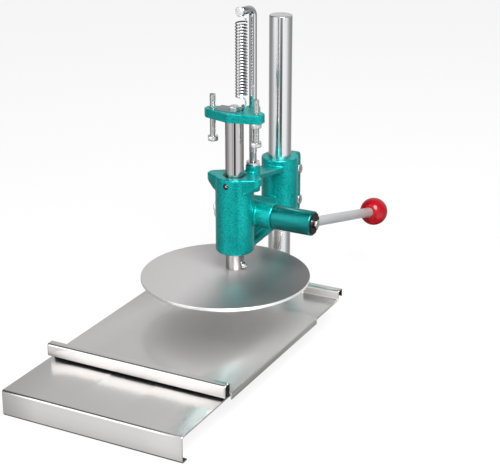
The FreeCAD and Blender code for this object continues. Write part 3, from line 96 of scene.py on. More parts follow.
class Blend(Enum):
    """Way in which two colours become one."""

    COVER = "MIX"
    MULTIPLY = "MULTIPLY"


class Cut(Enum):
    """What a cutter leaves of a piece."""

    REST = "DIFFERENCE"
    SHARED = "INTERSECT"


# Materials


class Nodes:
    """Short ways to add nodes to a tree and to link them."""

    def __init__(self, tree: NodeTree) -> None:
        """Take the tree that receives the nodes."""
        self.tree = tree

    def add(self, kind: str, **settings: object) -> Node:
        """Add a node.

        Args:
            kind: Blender's name of the node type.
            settings: Attributes of the node.

        Returns:
            The new node.
        """
        node = self.tree.nodes.new(kind)
        for key, value in settings.items():
            setattr(node, key, value)
        return node

    def put(self, value: object, socket: NodeSocket) -> None:
        """Link an input to another node's output, or set it.

        Args:
            value: The output, or a plain value.
            socket: The input.
        """
        if isinstance(value, NodeSocket):
            self.tree.links.new(value, socket)
        else:
            socket.default_value = value

    def feed(self, node: Node, **inputs: object) -> Node:
        """Set or link inputs of a node by name.

        Args:
            node: Node to feed.
            inputs: Values or outputs by input name, with underscores for spaces.

        Returns:
            The same node.
        """
        for key, value in inputs.items():
            self.put(value, node.inputs[key.replace("_", " ")])
        return node

    def maths(self, operation: str, *values: float | NodeSocket) -> NodeSocket:
        """A sum, a product or another operation of two values.

        Args:
            operation: Blender's name of the operation.
            values: Two numbers or outputs.

        Returns:
            The result.
        """
        node = self.add("ShaderNodeMath", operation=operation)
        for socket, value in zip(node.inputs, values):
            self.put(value, socket)
        return node.outputs["Value"]

    def spread(self, value: NodeSocket, source: Range, target: Range,
               smooth: bool = False) -> NodeSocket:
        """Carry a value from one range over to another.

        Args:
            value: The value.
            source: Ends of the range that it comes from.
            target: Ends of the range that it goes to.
            smooth: Whether it eases in and out.

        Returns:
            The carried value.
        """
        kind = "SMOOTHSTEP" if smooth else "LINEAR"
        node = self.add("ShaderNodeMapRange", interpolation_type=kind)
        ends = zip(("From_Min", "From_Max", "To_Min", "To_Max"), (*source, *target))
        return self.feed(node, Value=value, **dict(ends)).outputs["Result"]

    def mixed(self, share: float | NodeSocket, first: Colour, second: Colour,
              blend: Blend = Blend.COVER) -> NodeSocket:
        """Two colours as one.

        Args:
            share: Share of the second colour.
            first: An output, or linear red, green and blue.
            second: The same for the second colour.
            blend: Way to mix them.

        Returns:
            The mixed colour.
        """
        node = self.add("ShaderNodeMix", data_type="RGBA", blend_type=blend.value)
        self.put(share, node.inputs[MIX_SHARE])
        for number, colour in ((MIX_FIRST, first), (MIX_SECOND, second)):
            plain = not isinstance(colour, NodeSocket)
            self.put((*colour, 1.0) if plain else colour, node.inputs[number])
        return node.outputs[MIX_RESULT]


class Recipe(Nodes):
    """A new material with a Principled shader, and short ways to grain it."""

    def __init__(self, name: str) -> None:
        """Start a material.

        Args:
            name: Name of the material.
        """
        self.material = bpy.data.materials.new(name)
        self.material.use_nodes = True
        super().__init__(self.material.node_tree)
        self.shader = self.tree.nodes["Principled BSDF"]
        self.place = self.add("ShaderNodeTexCoord").outputs["Object"]

    def noise(self, scale: float, detail: float,
              where: NodeSocket | None = None) -> NodeSocket:
        """Fractal noise.

        Args:
            scale: Cells in each metre.
            detail: Number of octaves.
            where: Coordinates, if they aren't the object's own.

        Returns:
            The noise value.
        """
        node = self.add("ShaderNodeTexNoise")
        place = self.place if where is None else where
        return self.feed(node, Vector=place, Scale=scale, Detail=detail).outputs["Fac"]

    def stretched(self, grain: Grain) -> NodeSocket:
        """Object coordinates scaled apart along the axes."""
        node = self.add("ShaderNodeMapping")
        return self.feed(node, Vector=self.place, Scale=grain.value).outputs["Vector"]

    def cells(self, scale: float, softness: float) -> NodeSocket:
        """Rounded cells like the dimples of hammered paint.

        Args:
            scale: Cells in each metre.
            softness: How far they run into each other, up to 1.

        Returns:
            The distance from the nearest cell's middle.
        """
        node = self.add("ShaderNodeTexVoronoi", feature="SMOOTH_F1")
        self.feed(node, Vector=self.place, Scale=scale, Smoothness=softness)
        return node.outputs["Distance"]

    def span(self, value: NodeSocket, low: float, high: float) -> NodeSocket:
        """A noise value spread between two others."""
        return self.spread(value, NOISE, (low, high))

    def tones(self, share: NodeSocket, first: str, second: str) -> NodeSocket:
        """A noise value as a colour between two others."""
        return self.mixed(self.span(share, 0.0, 1.0), linear(first), linear(second))

    def relief(self, height: NodeSocket, depth_mm: float, strength: float = 1.0,
               under: NodeSocket | None = None) -> NodeSocket:
        """A bump from a height value.

        Args:
            height: Height from 0 to 1.
            depth_mm: Depth that a height of 1 stands for.
            strength: Share of the bump that is used.
            under: Normal of a coarser bump below this one.

        Returns:
            The bumped normal.
        """
        node = self.add("ShaderNodeBump")
        self.feed(node, Height=height, Distance=depth_mm * MM, Strength=strength)
        if under is not None:
            self.feed(node, Normal=under)
        return node.outputs["Normal"]

    def surface(self, **inputs: object) -> Material:
        """Feed the shader, and give the material."""
        self.feed(self.shader, **inputs)
        return self.material


def linear(colour: str) -> tuple[float, ...]:
    """Linear red, green and blue of a colour written as six hexadecimal digits."""
    parts = [int(colour[k : k + 2], 16) / 255 for k in (0, 2, 4)]
    return tuple(((part + 0.055) / 1.055) ** 2.4 for part in parts)


@dataclass(frozen=True)
class HammeredPaint:
    """Teal enamel with the dimples of hammer finish, sprayed on rough castings."""

    name: str = "hammered_teal"
    deep: str = "047a78"
    bright: str = "05b4b0"
    dimples: float = 900.0
    softness: float = 0.6
    relief_mm: float = 0.2
    relief_share: float = 0.45
    sand: float = 2790.0
    sand_mm: float = 0.05
    sand_share: float = 0.6
    pools: float = 34.0
    pool_share: float = 0.22
    pool_levels: Range = (0.55, 1.25)
    metallic: float = 0.66
    roughness: Range = (0.28, 0.36)
    gloss: float = 0.25
    coat: float = 0.04
    coat_roughness: float = 0.2

    def make(self) -> Material:
        """Build the material.

        Returns:
            The material.
        """
        recipe = Recipe(self.name)
        dimple = recipe.cells(self.dimples, self.softness)
        sand = recipe.noise(self.sand, 3.0)
        pool = recipe.span(recipe.noise(self.pools, 2.0), *self.pool_levels)
        tone = recipe.tones(dimple, self.bright, self.deep)
        coarse = recipe.relief(dimple, self.relief_mm, self.relief_share)
        return recipe.surface(
            Base_Color=recipe.mixed(self.pool_share, tone, pool, Blend.MULTIPLY),
            Metallic=self.metallic,
            Roughness=recipe.span(sand, *self.roughness),
            Specular_IOR_Level=self.gloss,
            Normal=recipe.relief(sand, self.sand_mm, self.sand_share, coarse),
            Coat_Weight=self.coat,
            Coat_Roughness=self.coat_roughness,
        )


@dataclass(frozen=True)
class SmoothPaint:
    """Teal metallic lacquer on a turned surface."""

    name: str = "smooth_teal"
    deep: str = "046c6c"
    bright: str = "0e8c88"
    flakes: float = 2600.0
    peel: float = 420.0
    peel_mm: float = 0.02
    peel_share: float = 0.5
    metallic: float = 0.88
    roughness: Range = (0.26, 0.32)
    coat: float = 0.12
    coat_roughness: float = 0.1

    def make(self) -> Material:
        """Build the material.

        Returns:
            The material.
        """
        recipe = Recipe(self.name)
        flake = recipe.noise(self.flakes, 2.0)
        orange_peel = recipe.noise(self.peel, 2.0)
        return recipe.surface(
            Base_Color=recipe.tones(flake, self.deep, self.bright),
            Metallic=self.metallic,
            Roughness=recipe.span(flake, *self.roughness),
            Normal=recipe.relief(orange_peel, self.peel_mm, self.peel_share),
            Coat_Weight=self.coat,
            Coat_Roughness=self.coat_roughness,
        )


@dataclass(frozen=True)
class Metal:
    """Bare or plated metal with the marks of how it was worked, and painted shade along
    X where asked.
    """

    name: str
    dark: str
    pale: str
    roughness: Range
    grain: Grain = Grain.EVEN
    groove_mm: float = 0.0005
    smears: float = 0.0
    smear_cells: float = 21.0
    metallic: float = 1.0
    # painted shade: where along X, in metres, the colour starts and stops darkening,
    # and the share of it left at the far end
    painted_shade_x_m: Triple | None = None
    turned: float = 0.0

    def make(self) -> Material:
        """Build the material.

        Returns:
            The material.
        """
        recipe = Recipe(self.name)
        lines = recipe.noise(1.0, 4.0, recipe.stretched(self.grain))
        broad = recipe.noise(self.smear_cells, 3.0)
        tone = recipe.tones(lines, self.dark, self.pale)
        smear = recipe.span(broad, -self.smears, self.smears)
        if self.turned:
            ring = recipe.add("ShaderNodeTangent", direction_type="RADIAL", axis="Z")
            recipe.feed(recipe.shader, Tangent=ring.outputs["Tangent"],
                        Anisotropic=self.turned, Anisotropic_Rotation=0.25)
        return recipe.surface(
            Base_Color=self.shaded_by_paint(recipe, tone) if self.painted_shade_x_m else tone,
            Metallic=self.metallic,
            Roughness=recipe.maths("ADD", smear, recipe.span(lines, *self.roughness)),
            Normal=recipe.relief(lines, self.groove_mm),
        )

    def shaded_by_paint(self, recipe: Recipe, tone: NodeSocket) -> NodeSocket:
        """Paint shade into the tone: it darkens along X across the piece, for the side
        that the light doesn't reach.

        Args:
            recipe: Material that is being made.
            tone: Colour before the painted shade.

        Returns:
            The colour with the painted shade.
        """
        *ends, least = self.painted_shade_x_m
        parts = recipe.feed(recipe.add("ShaderNodeSeparateXYZ"), Vector=recipe.place)
        # painted shade: a smooth fall from full colour to the least share along X
        fall = recipe.spread(parts.outputs["X"], ends, (1.0, least), smooth=True)
        return recipe.mixed(1.0, tone, fall, Blend.MULTIPLY)


@dataclass(frozen=True)
class Plastic:
    """Glossy moulded plastic."""

    name: str = "red_knob"
    deep: str = "8a0512"
    bright: str = "9e0918"
    clouds: float = 60.0
    pores: float = 1500.0
    pore_mm: float = 0.002
    pore_share: float = 0.4
    roughness: Range = (0.16, 0.22)
    gloss: float = 0.35
    coat: float = 0.05
    coat_roughness: float = 0.08

    def make(self) -> Material:
        """Build the material.

        Returns:
            The material.
        """
        recipe = Recipe(self.name)
        cloud = recipe.noise(self.clouds, 2.0)
        pore = recipe.noise(self.pores, 2.0)
        return recipe.surface(
            Base_Color=recipe.tones(cloud, self.deep, self.bright),
            Roughness=recipe.span(pore, *self.roughness),
            Specular_IOR_Level=self.gloss,
            Normal=recipe.relief(pore, self.pore_mm, self.pore_share),
            Coat_Weight=self.coat,
            Coat_Roughness=self.coat_roughness,
        )


FINISHES = {
    "cast_paint": HammeredPaint(),
    "hub_paint": SmoothPaint(),
    "red_plastic": Plastic(),
    "stainless_sheet": Metal("brushed_stainless", "dddbda", "e4e2e0", (0.22, 0.26),
                             grain=Grain.ALONG_X, groove_mm=0.0002, smears=0.01),
    # painted shade: a near-black copy of the sheet on its inner and under faces, to
    # darken the gaps under and inside the folds
    "sheet_inside_painted_shade": Metal("painted_shade_inside", "0e0f10", "181919", (0.6, 0.7),
                          grain=Grain.ALONG_X, groove_mm=0.0006, metallic=0.2),
    # painted shade: the disc's colour darkens from left to right along X, for the side
    # that the light doesn't reach
    "disc_steel": Metal("satin_disc", "d0cccc", "d6d3d3", (0.40, 0.44),
                        groove_mm=0.0003, smears=0.02, metallic=0.75,
                        painted_shade_x_m=(-0.03, 0.07, 0.28)),
    "disc_rim": Metal("turned_rim", "ececed", "f4f4f5", (0.26, 0.32),
                      groove_mm=0.0004, metallic=0.7),
    # painted light: a paler, duller copy of the disc steel on the faces that look down,
    # to brighten the shaded underside
    "disc_under_painted_light": Metal("painted_light_underside", "e6e6e7", "eeeeef", (0.5, 0.55),
                        groove_mm=0.0003, metallic=0.3),
    "chrome_steel": Metal("polished_chrome", "dcdddf", "e4e5e6", (0.14, 0.15),
                          grain=Grain.ALONG_Z, groove_mm=0.0001, turned=0.94),
    "ram_chrome": Metal("ram_chrome", "b8b6b6", "c8c6c6", (0.05, 0.07),
                        grain=Grain.DRAWN_Z, groove_mm=0.24),
    "polished_rod": Metal("polished_rod", "c8c9cb", "d4d5d7", (0.07, 0.10),
                          grain=Grain.ALONG_Z, groove_mm=0.0002),
    "lever_satin": Metal("lever_satin", "b2b3b4", "bebfc0", (0.32, 0.38),
                         groove_mm=0.0006, metallic=0.5),
    "bright_steel": Metal("ground_steel", "c2c3c5", "d2d3d5", (0.17, 0.21),
                          groove_mm=0.0008),
    "black_steel": Metal("black_oxide", "45474a", "55585c", (0.20, 0.28),
                         groove_mm=0.002),
    "spring_steel": Metal("spring_wire", "c6c7c9", "d2d3d5", (0.08, 0.11)),
    # painted shade: a dark copy of the wire for its faces that look in towards the
    # coil's axis, so the inside of the coil reads as shaded
    "spring_inside_painted_shade": Metal("painted_shade_wire", "36373a", "424346", (0.25, 0.32)),
    "zinc_steel": Metal("zinc_plate", "d8dad9", "e2e4e3", (0.18, 0.24),
                        groove_mm=0.0006, smears=0.02),
    "dull_zinc": Metal("dull_zinc", "8b9598", "9ba4a7", (0.28, 0.36),
                       groove_mm=0.001, smears=0.04),
    "black_zinc": Metal("black_zinc", "2c2826", "3a3532", (0.22, 0.3),
                        groove_mm=0.001),
    # partly real, partly painted shade: oiled bronze, darkened nearly to black so the
    # bush rim round the ram reads as the shadow there
    "bronze": Metal("bronze_darkened_as_shade", "22180e", "302315", (0.25, 0.35),
                    groove_mm=0.002),
}
_made: dict[str, Material] = {}


def finish(look: str) -> Material:
    """The material of one of the finishes, made once."""
    if look not in _made:
        _made[look] = FINISHES[look].make()
    return _made[look]


def coat(obj: Object, *looks: str) -> None:
    """Give a piece several finishes, for its faces to choose from by number."""
    for look in looks:
        obj.data.materials.append(finish(look))


# Places and outlines


def at(x: float = 0, y: float = 0, z: float = 0) -> Matrix:
    """A place whose own height runs up."""
    return Matrix.Translation((x, y, z))


def facing(direction: Sequence[float], x: float, y: float, z: float) -> Matrix:
    """A place whose own height runs along a direction."""
    return at(x, y, z) @ Vector(direction).to_track_quat("Z", "Y").to_matrix().to_4x4()


def spoke(radius: float, angle_rad: float, height: float) -> Vector:
    """The point at a radius and an angle from the axis, and at a height."""
    return Vector((radius * math.cos(angle_rad), radius * math.sin(angle_rad), height))


def arc(centre: Flat, radius: float, start: float, end: float, steps: int) -> Outline:
    """Points of an arc.

    Args:
        centre: Its centre.
        radius: Its radius.
        start: Angle of the first point.
        end: Angle of the last point.
        steps: Number of segments.

    Returns:
        The points.
    """
    angles = [math.radians(start + (end - start) * k / steps) for k in range(steps + 1)]
    return [(centre[0] + radius * math.cos(angle), centre[1] + radius * math.sin(angle))
            for angle in angles]


def ring(centre: Flat, radius: float, count: int) -> Outline:
    """A number of points all round a circle."""
    return arc(centre, radius, 0, 360 - 360 / count, count - 1)


def slug(radius: float, low: float, high: float) -> Outline:
    """Half the profile of a plain round bar."""
    return [(0, low), (radius, low), (radius, high), (0, high)]


def rounded(points: Outline, radii: Sequence[float], steps: int = 6) -> Outline:
    """Round the corners of an outline.

    Args:
        points: Corners in order.
        radii: Radius of each corner, or 0 where it stays sharp.
        steps: Number of segments in each rounding.

    Returns:
        The points of the rounded outline.
    """
    result: Outline = []
    for number, (corner, radius) in enumerate(zip(points, radii)):
        if radius <= 0:
            result.append(corner)
            continue
        here = Vector(corner)
        before = (Vector(points[number - 1]) - here).normalized()
        after = (Vector(points[(number + 1) % len(points)]) - here).normalized()
        half = before.angle(after) / 2
        reach = radius / math.tan(half)
        centre = here + (before + after).normalized() * radius / math.sin(half)
        start = here + before * reach - centre
        sweep_rad = start.angle_signed(here + after * reach - centre)
        for step in range(steps + 1):
            point = start.copy()
            point.rotate(Matrix.Rotation(-sweep_rad * step / steps, 2))
            result.append(tuple(centre + point))
    return result


# Mesh building


def placed(name: str, data: ID) -> Object:
    """A new object of the scene that holds a mesh, a lamp or a camera.

    Args:
        name: Its name.
        data: What it holds.

    Returns:
        The object.
    """
    obj = bpy.data.objects.new(name, data)
    bpy.context.scene.collection.objects.link(obj)
    return obj


def meshed(name: str, bm: BMesh) -> Object:
    """Turn a mesh into an object as it is.

    Args:
        name: Name of the piece.
        bm: Its mesh, which is used up.

    Returns:
        The new object.
    """
    mesh = bpy.data.meshes.new(name)
    bm.to_mesh(mesh)
    bm.free()
    return placed(name, mesh)


def finished(name: str, bm: BMesh, sharp: float = SHARP) -> Object:
    """Turn a mesh in millimetres into a smooth-shaded object in metres.

    Args:
        name: Name of the piece.
        bm: Its mesh, which is used up.
        sharp: Angle above which an edge stays sharp.

    Returns:
        The new object.
    """
    bmesh.ops.recalc_face_normals(bm, faces=bm.faces)
    bm.transform(Matrix.Scale(MM, 4))
    obj = meshed(name, bm)
    smooth_by_angle(obj.data, sharp)
    return obj


def smooth_by_angle(mesh: Mesh, sharp: float) -> None:
    """Shade a mesh smooth, apart from edges above an angle."""
    mesh.shade_smooth()
    mesh.set_sharp_from_angle(angle=math.radians(sharp))


def modified(obj: Object, kind: str, **settings: object) -> None:
    """Add a modifier.

    Args:
        obj: Piece that receives it.
        kind: Blender's name of the modifier type.
        settings: Attributes of the modifier.
    """
    modifier = obj.modifiers.new(kind.lower(), kind)
    for key, value in settings.items():
        setattr(modifier, key, value)


def applied(obj: Object, sharp: float = SHARP) -> Object:
    """Turn an object's modifiers into its mesh.

    Args:
        obj: The piece.
        sharp: Angle above which an edge stays sharp.

    Returns:
        The same piece.
    """
    graph = bpy.context.evaluated_depsgraph_get()
    mesh = bpy.data.meshes.new_from_object(obj.evaluated_get(graph))
    obj.modifiers.clear()
    obj.data = mesh
    smooth_by_angle(mesh, sharp)
    return obj


def eased(obj: Object, width: float, segments: int = 2, angle: float = 40.0) -> Object:
    """Break the sharp edges of a piece with a small rounding.

    Args:
        obj: The piece.
        width: Width of the rounding.
        segments: Number of faces across it.
        angle: Angle above which an edge is broken.

    Returns:
        The same piece.
    """
    modified(obj, "BEVEL", width=width * MM, segments=segments, limit_method="ANGLE",
             angle_limit=math.radians(angle))
    return applied(obj, THREAD_SHARP)


def carved(obj: Object, cutters: Iterable[BMesh], leaves: Cut = Cut.REST) -> Object:
    """Cut closed meshes out of a piece, or keep what it shares with them.

    Args:
        obj: The piece.
        cutters: The meshes, which are used up.
        leaves: What each of them leaves.

    Returns:
        The same piece.
    """
    for cutter in cutters:
        tool = finished("cutter", cutter)
        modified(obj, "BOOLEAN", operation=leaves.value, solver="MANIFOLD", object=tool)
        applied(obj)
        bpy.data.objects.remove(tool)
    return obj


def bridge(bm: BMesh, lower: Sequence[BMVert], upper: Sequence[BMVert]) -> None:
    """Join two rings with faces, either of which may be a single point.

    Args:
        bm: Mesh that receives the faces.
        lower: Points of the first ring.
        upper: Points of the second ring.
    """
    count = max(len(lower), len(upper))
    for k in range(count):
        following = (k + 1) % count
        if len(lower) == 1:
            bm.faces.new((lower[0], upper[k], upper[following]))
        elif len(upper) == 1:
            bm.faces.new((lower[k], lower[following], upper[0]))
        else:
            bm.faces.new((lower[k], lower[following], upper[following], upper[k]))


def lathe(bm: BMesh, profile: Outline, place: Matrix = Matrix(), closed: bool = False,
          steps: int = ROUND_STEPS) -> BMesh:
    """Turn a half profile round the height axis of a place.

    Args:
        bm: Mesh that receives the faces.
        profile: Points of radius and height.
        place: Where the axis stands.
        closed: Whether the last point joins the first, as in a tube.
        steps: Number of faces round the axis.

    Returns:
        The same mesh.
    """
    rings = []
    for radius, height in profile:
        count = steps if radius > 0 else 1
        rings.append([bm.verts.new(place @ spoke(radius, TURN_RAD * k / steps, height))
                      for k in range(count)])
    for lower, upper in zip(rings, rings[1:]):
        bridge(bm, lower, upper)
    if closed:
        bridge(bm, rings[-1], rings[0])
    return bm


def drum(radius: float, low: float, high: float, place: Matrix = Matrix(),
         steps: int = ROUND_STEPS) -> BMesh:
    """A closed round bar, as a mesh of its own."""
    return lathe(bmesh.new(), slug(radius, low, high), place, steps=steps)


def turned(name: str, profile: Outline, place: Matrix, steps: int,
           closed: bool = False) -> Object:
    """A piece turned from half its profile."""
    return finished(name, lathe(bmesh.new(), profile, place, closed, steps))


def prism(bm: BMesh, outline: Outline, low: float, high: float,
          place: Matrix = Matrix()) -> BMesh:
    """Thicken an outline between two heights.

    Args:
        bm: Mesh that receives the faces.
        outline: Corners of the outline.
        low: Lower height.
        high: Upper height.
        place: Where the outline lies.

    Returns:
        The same mesh.
    """
    lower, upper = (
        [bm.verts.new(place @ Vector((*point, height))) for point in outline]
        for height in (low, high))
    bm.faces.new(lower[::-1])
    bm.faces.new(upper)
    bridge(bm, lower, upper)
    return bm


def hull(bm: BMesh, points: Iterable[Sequence[float]]) -> BMesh:
    """Add the convex body around some points.

    Args:
        bm: Mesh that receives it.
        points: The points.

    Returns:
        The same mesh.
    """
    added = [bm.verts.new(point) for point in points]
    made = bmesh.ops.convex_hull(bm, input=added)
    inside = [part for part in made["geom_interior"] if isinstance(part, BMVert)]
    bmesh.ops.delete(bm, geom=inside, context="VERTS")
    return bm


def block(low: Sequence[float], high: Sequence[float]) -> BMesh:
    """A cutter with square corners, between its lowest and its highest corner."""
    (x0, y0, z0), (x1, y1, z1) = low, high
    return hull(bmesh.new(), [(x, y, z) for x in (x0, x1) for y in (y0, y1)
                              for z in (z0, z1)])


def sweep(bm: BMesh, path: Sequence[Vector], radii: Sequence[float],
          sides: int) -> BMesh:
    """Draw a round bar along a path.

    Args:
        bm: Mesh that receives the faces.
        path: Points of the centre line.
        radii: Radius at each point.
        sides: Number of faces round the bar.

    Returns:
        The same mesh.
    """
    heading = (path[1] - path[0]).normalized()
    side = heading.orthogonal().normalized()
    rings = []
    for number, (point, radius) in enumerate(zip(path, radii)):
        before = path[max(number - 1, 0)]
        after = path[min(number + 1, len(path) - 1)]
        onward = (after - before).normalized()
        side = heading.rotation_difference(onward) @ side
        heading = onward
        side = (side - heading * side.dot(heading)).normalized()
        other = heading.cross(side)
        angles = [TURN_RAD * k / sides for k in range(sides)]
        rings.append([
            bm.verts.new(point + radius * (side * math.cos(a) + other * math.sin(a)))
            for a in angles
        ])
    for lower, upper in zip(rings, rings[1:]):
        bridge(bm, lower, upper)
    bm.faces.new(rings[0][::-1])
    bm.faces.new(rings[-1])
    return bm


def thread(bm: BMesh, radius: float, pitch: float, low: float, high: float,
           place: Matrix, sides: int = 32) -> BMesh:
    """Add a screw thread as one winding surface with closed ends.

    Args:
        bm: Mesh that receives the faces.
        radius: Outer radius.
        pitch: Rise of each turn.
        low: Height of the lower end.
        high: Height of the upper end.
        place: Where the axis stands.
        sides: Number of faces round the axis.

    Returns:
        The same mesh.
    """
    depth = pitch * THREAD_DEPTH
    root = radius - depth
    turns = math.ceil((high - low) / pitch) + 1
    rows = []
    for turn in range(turns):
        for share, sunk in THREAD_FORM:
            row = []
            for k in range(sides):
                height = low + (turn + share - 1 + k / sides) * pitch
                taper = 0.0 if low < height < high else depth
                reach = max(radius - depth * sunk - taper, root)
                point = spoke(reach, TURN_RAD * k / sides,
                              min(max(height, low), high))
                row.append(bm.verts.new(place @ point))
            rows.append(row)
    for number, (row, above) in enumerate(zip(rows, rows[1:])):
        for k in range(sides - 1):
            bm.faces.new((row[k], row[k + 1], above[k + 1], above[k]))
        onward = rows[number + len(THREAD_FORM) :][:2]
        if len(onward) == 2:
            bm.faces.new((row[-1], onward[0][0], onward[1][0], above[-1]))
    bmesh.ops.remove_doubles(bm, verts=bm.verts, dist=1e-4)
    return bm


def cast(name: str, bm: BMesh, voxel: float, passes: int) -> Object:
    """Melt overlapping bodies into one casting with soft fillets.

    Args:
        name: Name of the piece.
        bm: Mesh of closed bodies that overlap.
        voxel: Fineness of the casting's skin.
        passes: How often the skin is smoothed.

    Returns:
        The casting.
    """
    obj = finished(name, bm)
    modified(obj, "REMESH", mode="VOXEL", voxel_size=voxel * MM)
    modified(obj, "SMOOTH", factor=0.5, iterations=passes)
    modified(obj, "DECIMATE", ratio=CAST_KEEP)
    return applied(obj, CAST_SHARP)


def joined(name: str, parts: Sequence[Object]) -> Object:
    """Put several objects into one piece.

    Args:
        name: Name of the piece.
        parts: The objects, which are used up.

    Returns:
        The piece, which keeps only the numbers of its faces' finishes.
    """
    bm = bmesh.new()
    for part in parts:
        bm.from_mesh(part.data)
        bpy.data.objects.remove(part)
    return meshed(name, bm)


class Skin:
    """A bent sheet: flat and curved patches along X or Y, thickened at the end."""

    def __init__(self) -> None:
        """Start without patches."""
        self.bm = bmesh.new()

    def patch(self, *corners: Sequence[float]) -> None:
        """Add a patch by its corners."""
        self.bm.faces.new([self.bm.verts.new(corner) for corner in corners])

    def strip(self, path: Outline, stops: Sequence[float]) -> None:
        """Lay a profile along X.

        Args:
            path: Its points of depth and height.
            stops: Where along X it starts, has seams and ends.
        """
        for first, last in zip(stops, stops[1:]):
            for start, end in zip(path, path[1:]):
                self.patch((first, *start), (last, *start), (last, *end), (first, *end))

    def side(self, path: Outline, stops: Sequence[float]) -> None:
        """Lay a profile along Y.

        Args:
            path: Its points of width and height.
            stops: Where along Y it starts, has seams and ends.
        """
        for first, last in zip(stops, stops[1:]):
            for (x0, z0), (x1, z1) in zip(path, path[1:]):
                self.patch((x0, first, z0), (x1, first, z1),
                           (x1, last, z1), (x0, last, z0))

    def plate(self, outline: Outline, holes: Sequence[Outline], height: float) -> None:
        """Fill a level outline that may have holes.

        Args:
            outline: Points of its border.
            holes: Points of each hole.
            height: Height of the plate.
        """
        edges = []
        for loop in (outline, *holes):
            points = [self.bm.verts.new((*point, height)) for point in loop]
            ends = zip(points, (*points[1:], points[0]))
            edges += [self.bm.edges.new(pair) for pair in ends]
        bmesh.ops.triangle_fill(self.bm, use_beauty=True, edges=edges, normal=(0, 0, 1))

    def thicken(self, name: str, gauge: float, edge: float) -> Object:
        """Give the sheet its thickness, below or behind the drawn face, with painted
        shade on the faces that this adds.

        Args:
            name: Name of the piece.
            gauge: Thickness of the sheet.
            edge: Width of the broken edges.

        Returns:
            The sheet.
        """
        bm = self.bm
        bmesh.ops.remove_doubles(bm, verts=bm.verts, dist=0.01)
        bmesh.ops.recalc_face_normals(bm, faces=bm.faces)
        level = max(bm.faces, key=lambda face: face.calc_area())
        if level.normal.z < 0:
            bmesh.ops.reverse_faces(bm, faces=bm.faces)
        bm.transform(Matrix.Scale(MM, 4))
        obj = meshed(name, bm)
        # the faces behind and below the drawn face get the near-black copy: painted
        # shade in the gaps under the lips and folds
        coat(obj, "stainless_sheet", "sheet_inside_painted_shade")
        modified(obj, "SOLIDIFY", material_offset=1, thickness=gauge * MM, offset=-1.0,
                 use_even_offset=True)
        return eased(applied(obj), edge, angle=60.0)


# Screws


@dataclass(frozen=True)
class Size:
    """A size of screw: width across the flats, radius of the thread and its pitch."""

    flats: float
    shank: float
    pitch: float


M6 = Size(10.0, 3.0, 1.0)
M8 = Size(13.0, 4.0, 1.25)
M10 = Size(17.0, 5.0, 1.5)
LOW_HEAD = 4.8  # height of most bolt heads
NUT = 6.5  # height of an M8 nut
THREAD_BITE = 0.1  # how far a nut's bore stays inside the thread
THREAD_RISE = 0.2  # how far a bolt's thread goes on into its head
CROWN = (1.3, 0.2, 0.93)  # a head's chamfer: reach, fall and face, in half its flats


def hexagon(flats: float) -> Outline:
    """Corners of a hexagon by its width across flats."""
    return ring((0, 0), flats / math.sqrt(3), 6)


def hex_head(name: str, size: Size, height: float, place: Matrix,
             bored: bool = False) -> Object:
    """A hexagon head or nut with its corners turned off.

    Args:
        name: Name of the piece.
        size: Size of the screw.
        height: Height of the head.
        place: Where its seat is; the head grows along the place's height.
        bored: Whether it is a nut.

    Returns:
        The head.
    """
    obj = finished(name, prism(bmesh.new(), hexagon(size.flats), 0, height, place))
    half, top = size.flats / 2, height + CLEAR
    reach, fall, face = (half * share for share in CROWN)
    crown = [(0, -PAST), (reach, -PAST), (reach, height - fall), (face, top), (0, top)]
    carved(obj, [lathe(bmesh.new(), crown, place)], Cut.SHARED)
    if bored:
        carved(obj, [drum(size.shank - THREAD_BITE, -PAST, height + PAST, place)])
    return eased(obj, width=0.12, segments=1)


def bolt(name: str, size: Size, head: float, length: float, place: Matrix) -> Object:
    """A hexagon bolt with a real thread.

    Args:
        name: Name of the piece.
        size: Size of the screw.
        head: Height of the head.
        length: Length under the head.
        place: Under the head; the head grows along the place's height.

    Returns:
        The bolt.
    """
    top = hex_head(f"{name}_head", size, head, place)
    bm = thread(bmesh.new(), size.shank - CLEAR, size.pitch, -length, THREAD_RISE,
                place)
    return joined(name, [top, finished(f"{name}_thread", bm, THREAD_SHARP)])


def wear(obj: Object, slot: str, body: str, *nodes: str, look: str = "") -> None:
    """Dress a piece and hang it on the body that carries it.

    Args:
        obj: The piece.
        slot: Slot of the record that names its finish.
        body: Body that it moves with, if it moves with a single one.
        nodes: Solids that it stands for.
        look: Finish of this piece alone, if it differs from its slot's.
    """
    if not any(obj.data.materials):
        obj.data.materials.clear()
        coat(obj, look or slot)
    if body:
        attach(obj, body)
    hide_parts(*nodes)
    log.info("%s: %d faces, finish %s", obj.name, len(obj.data.polygons), slot)


# The machine


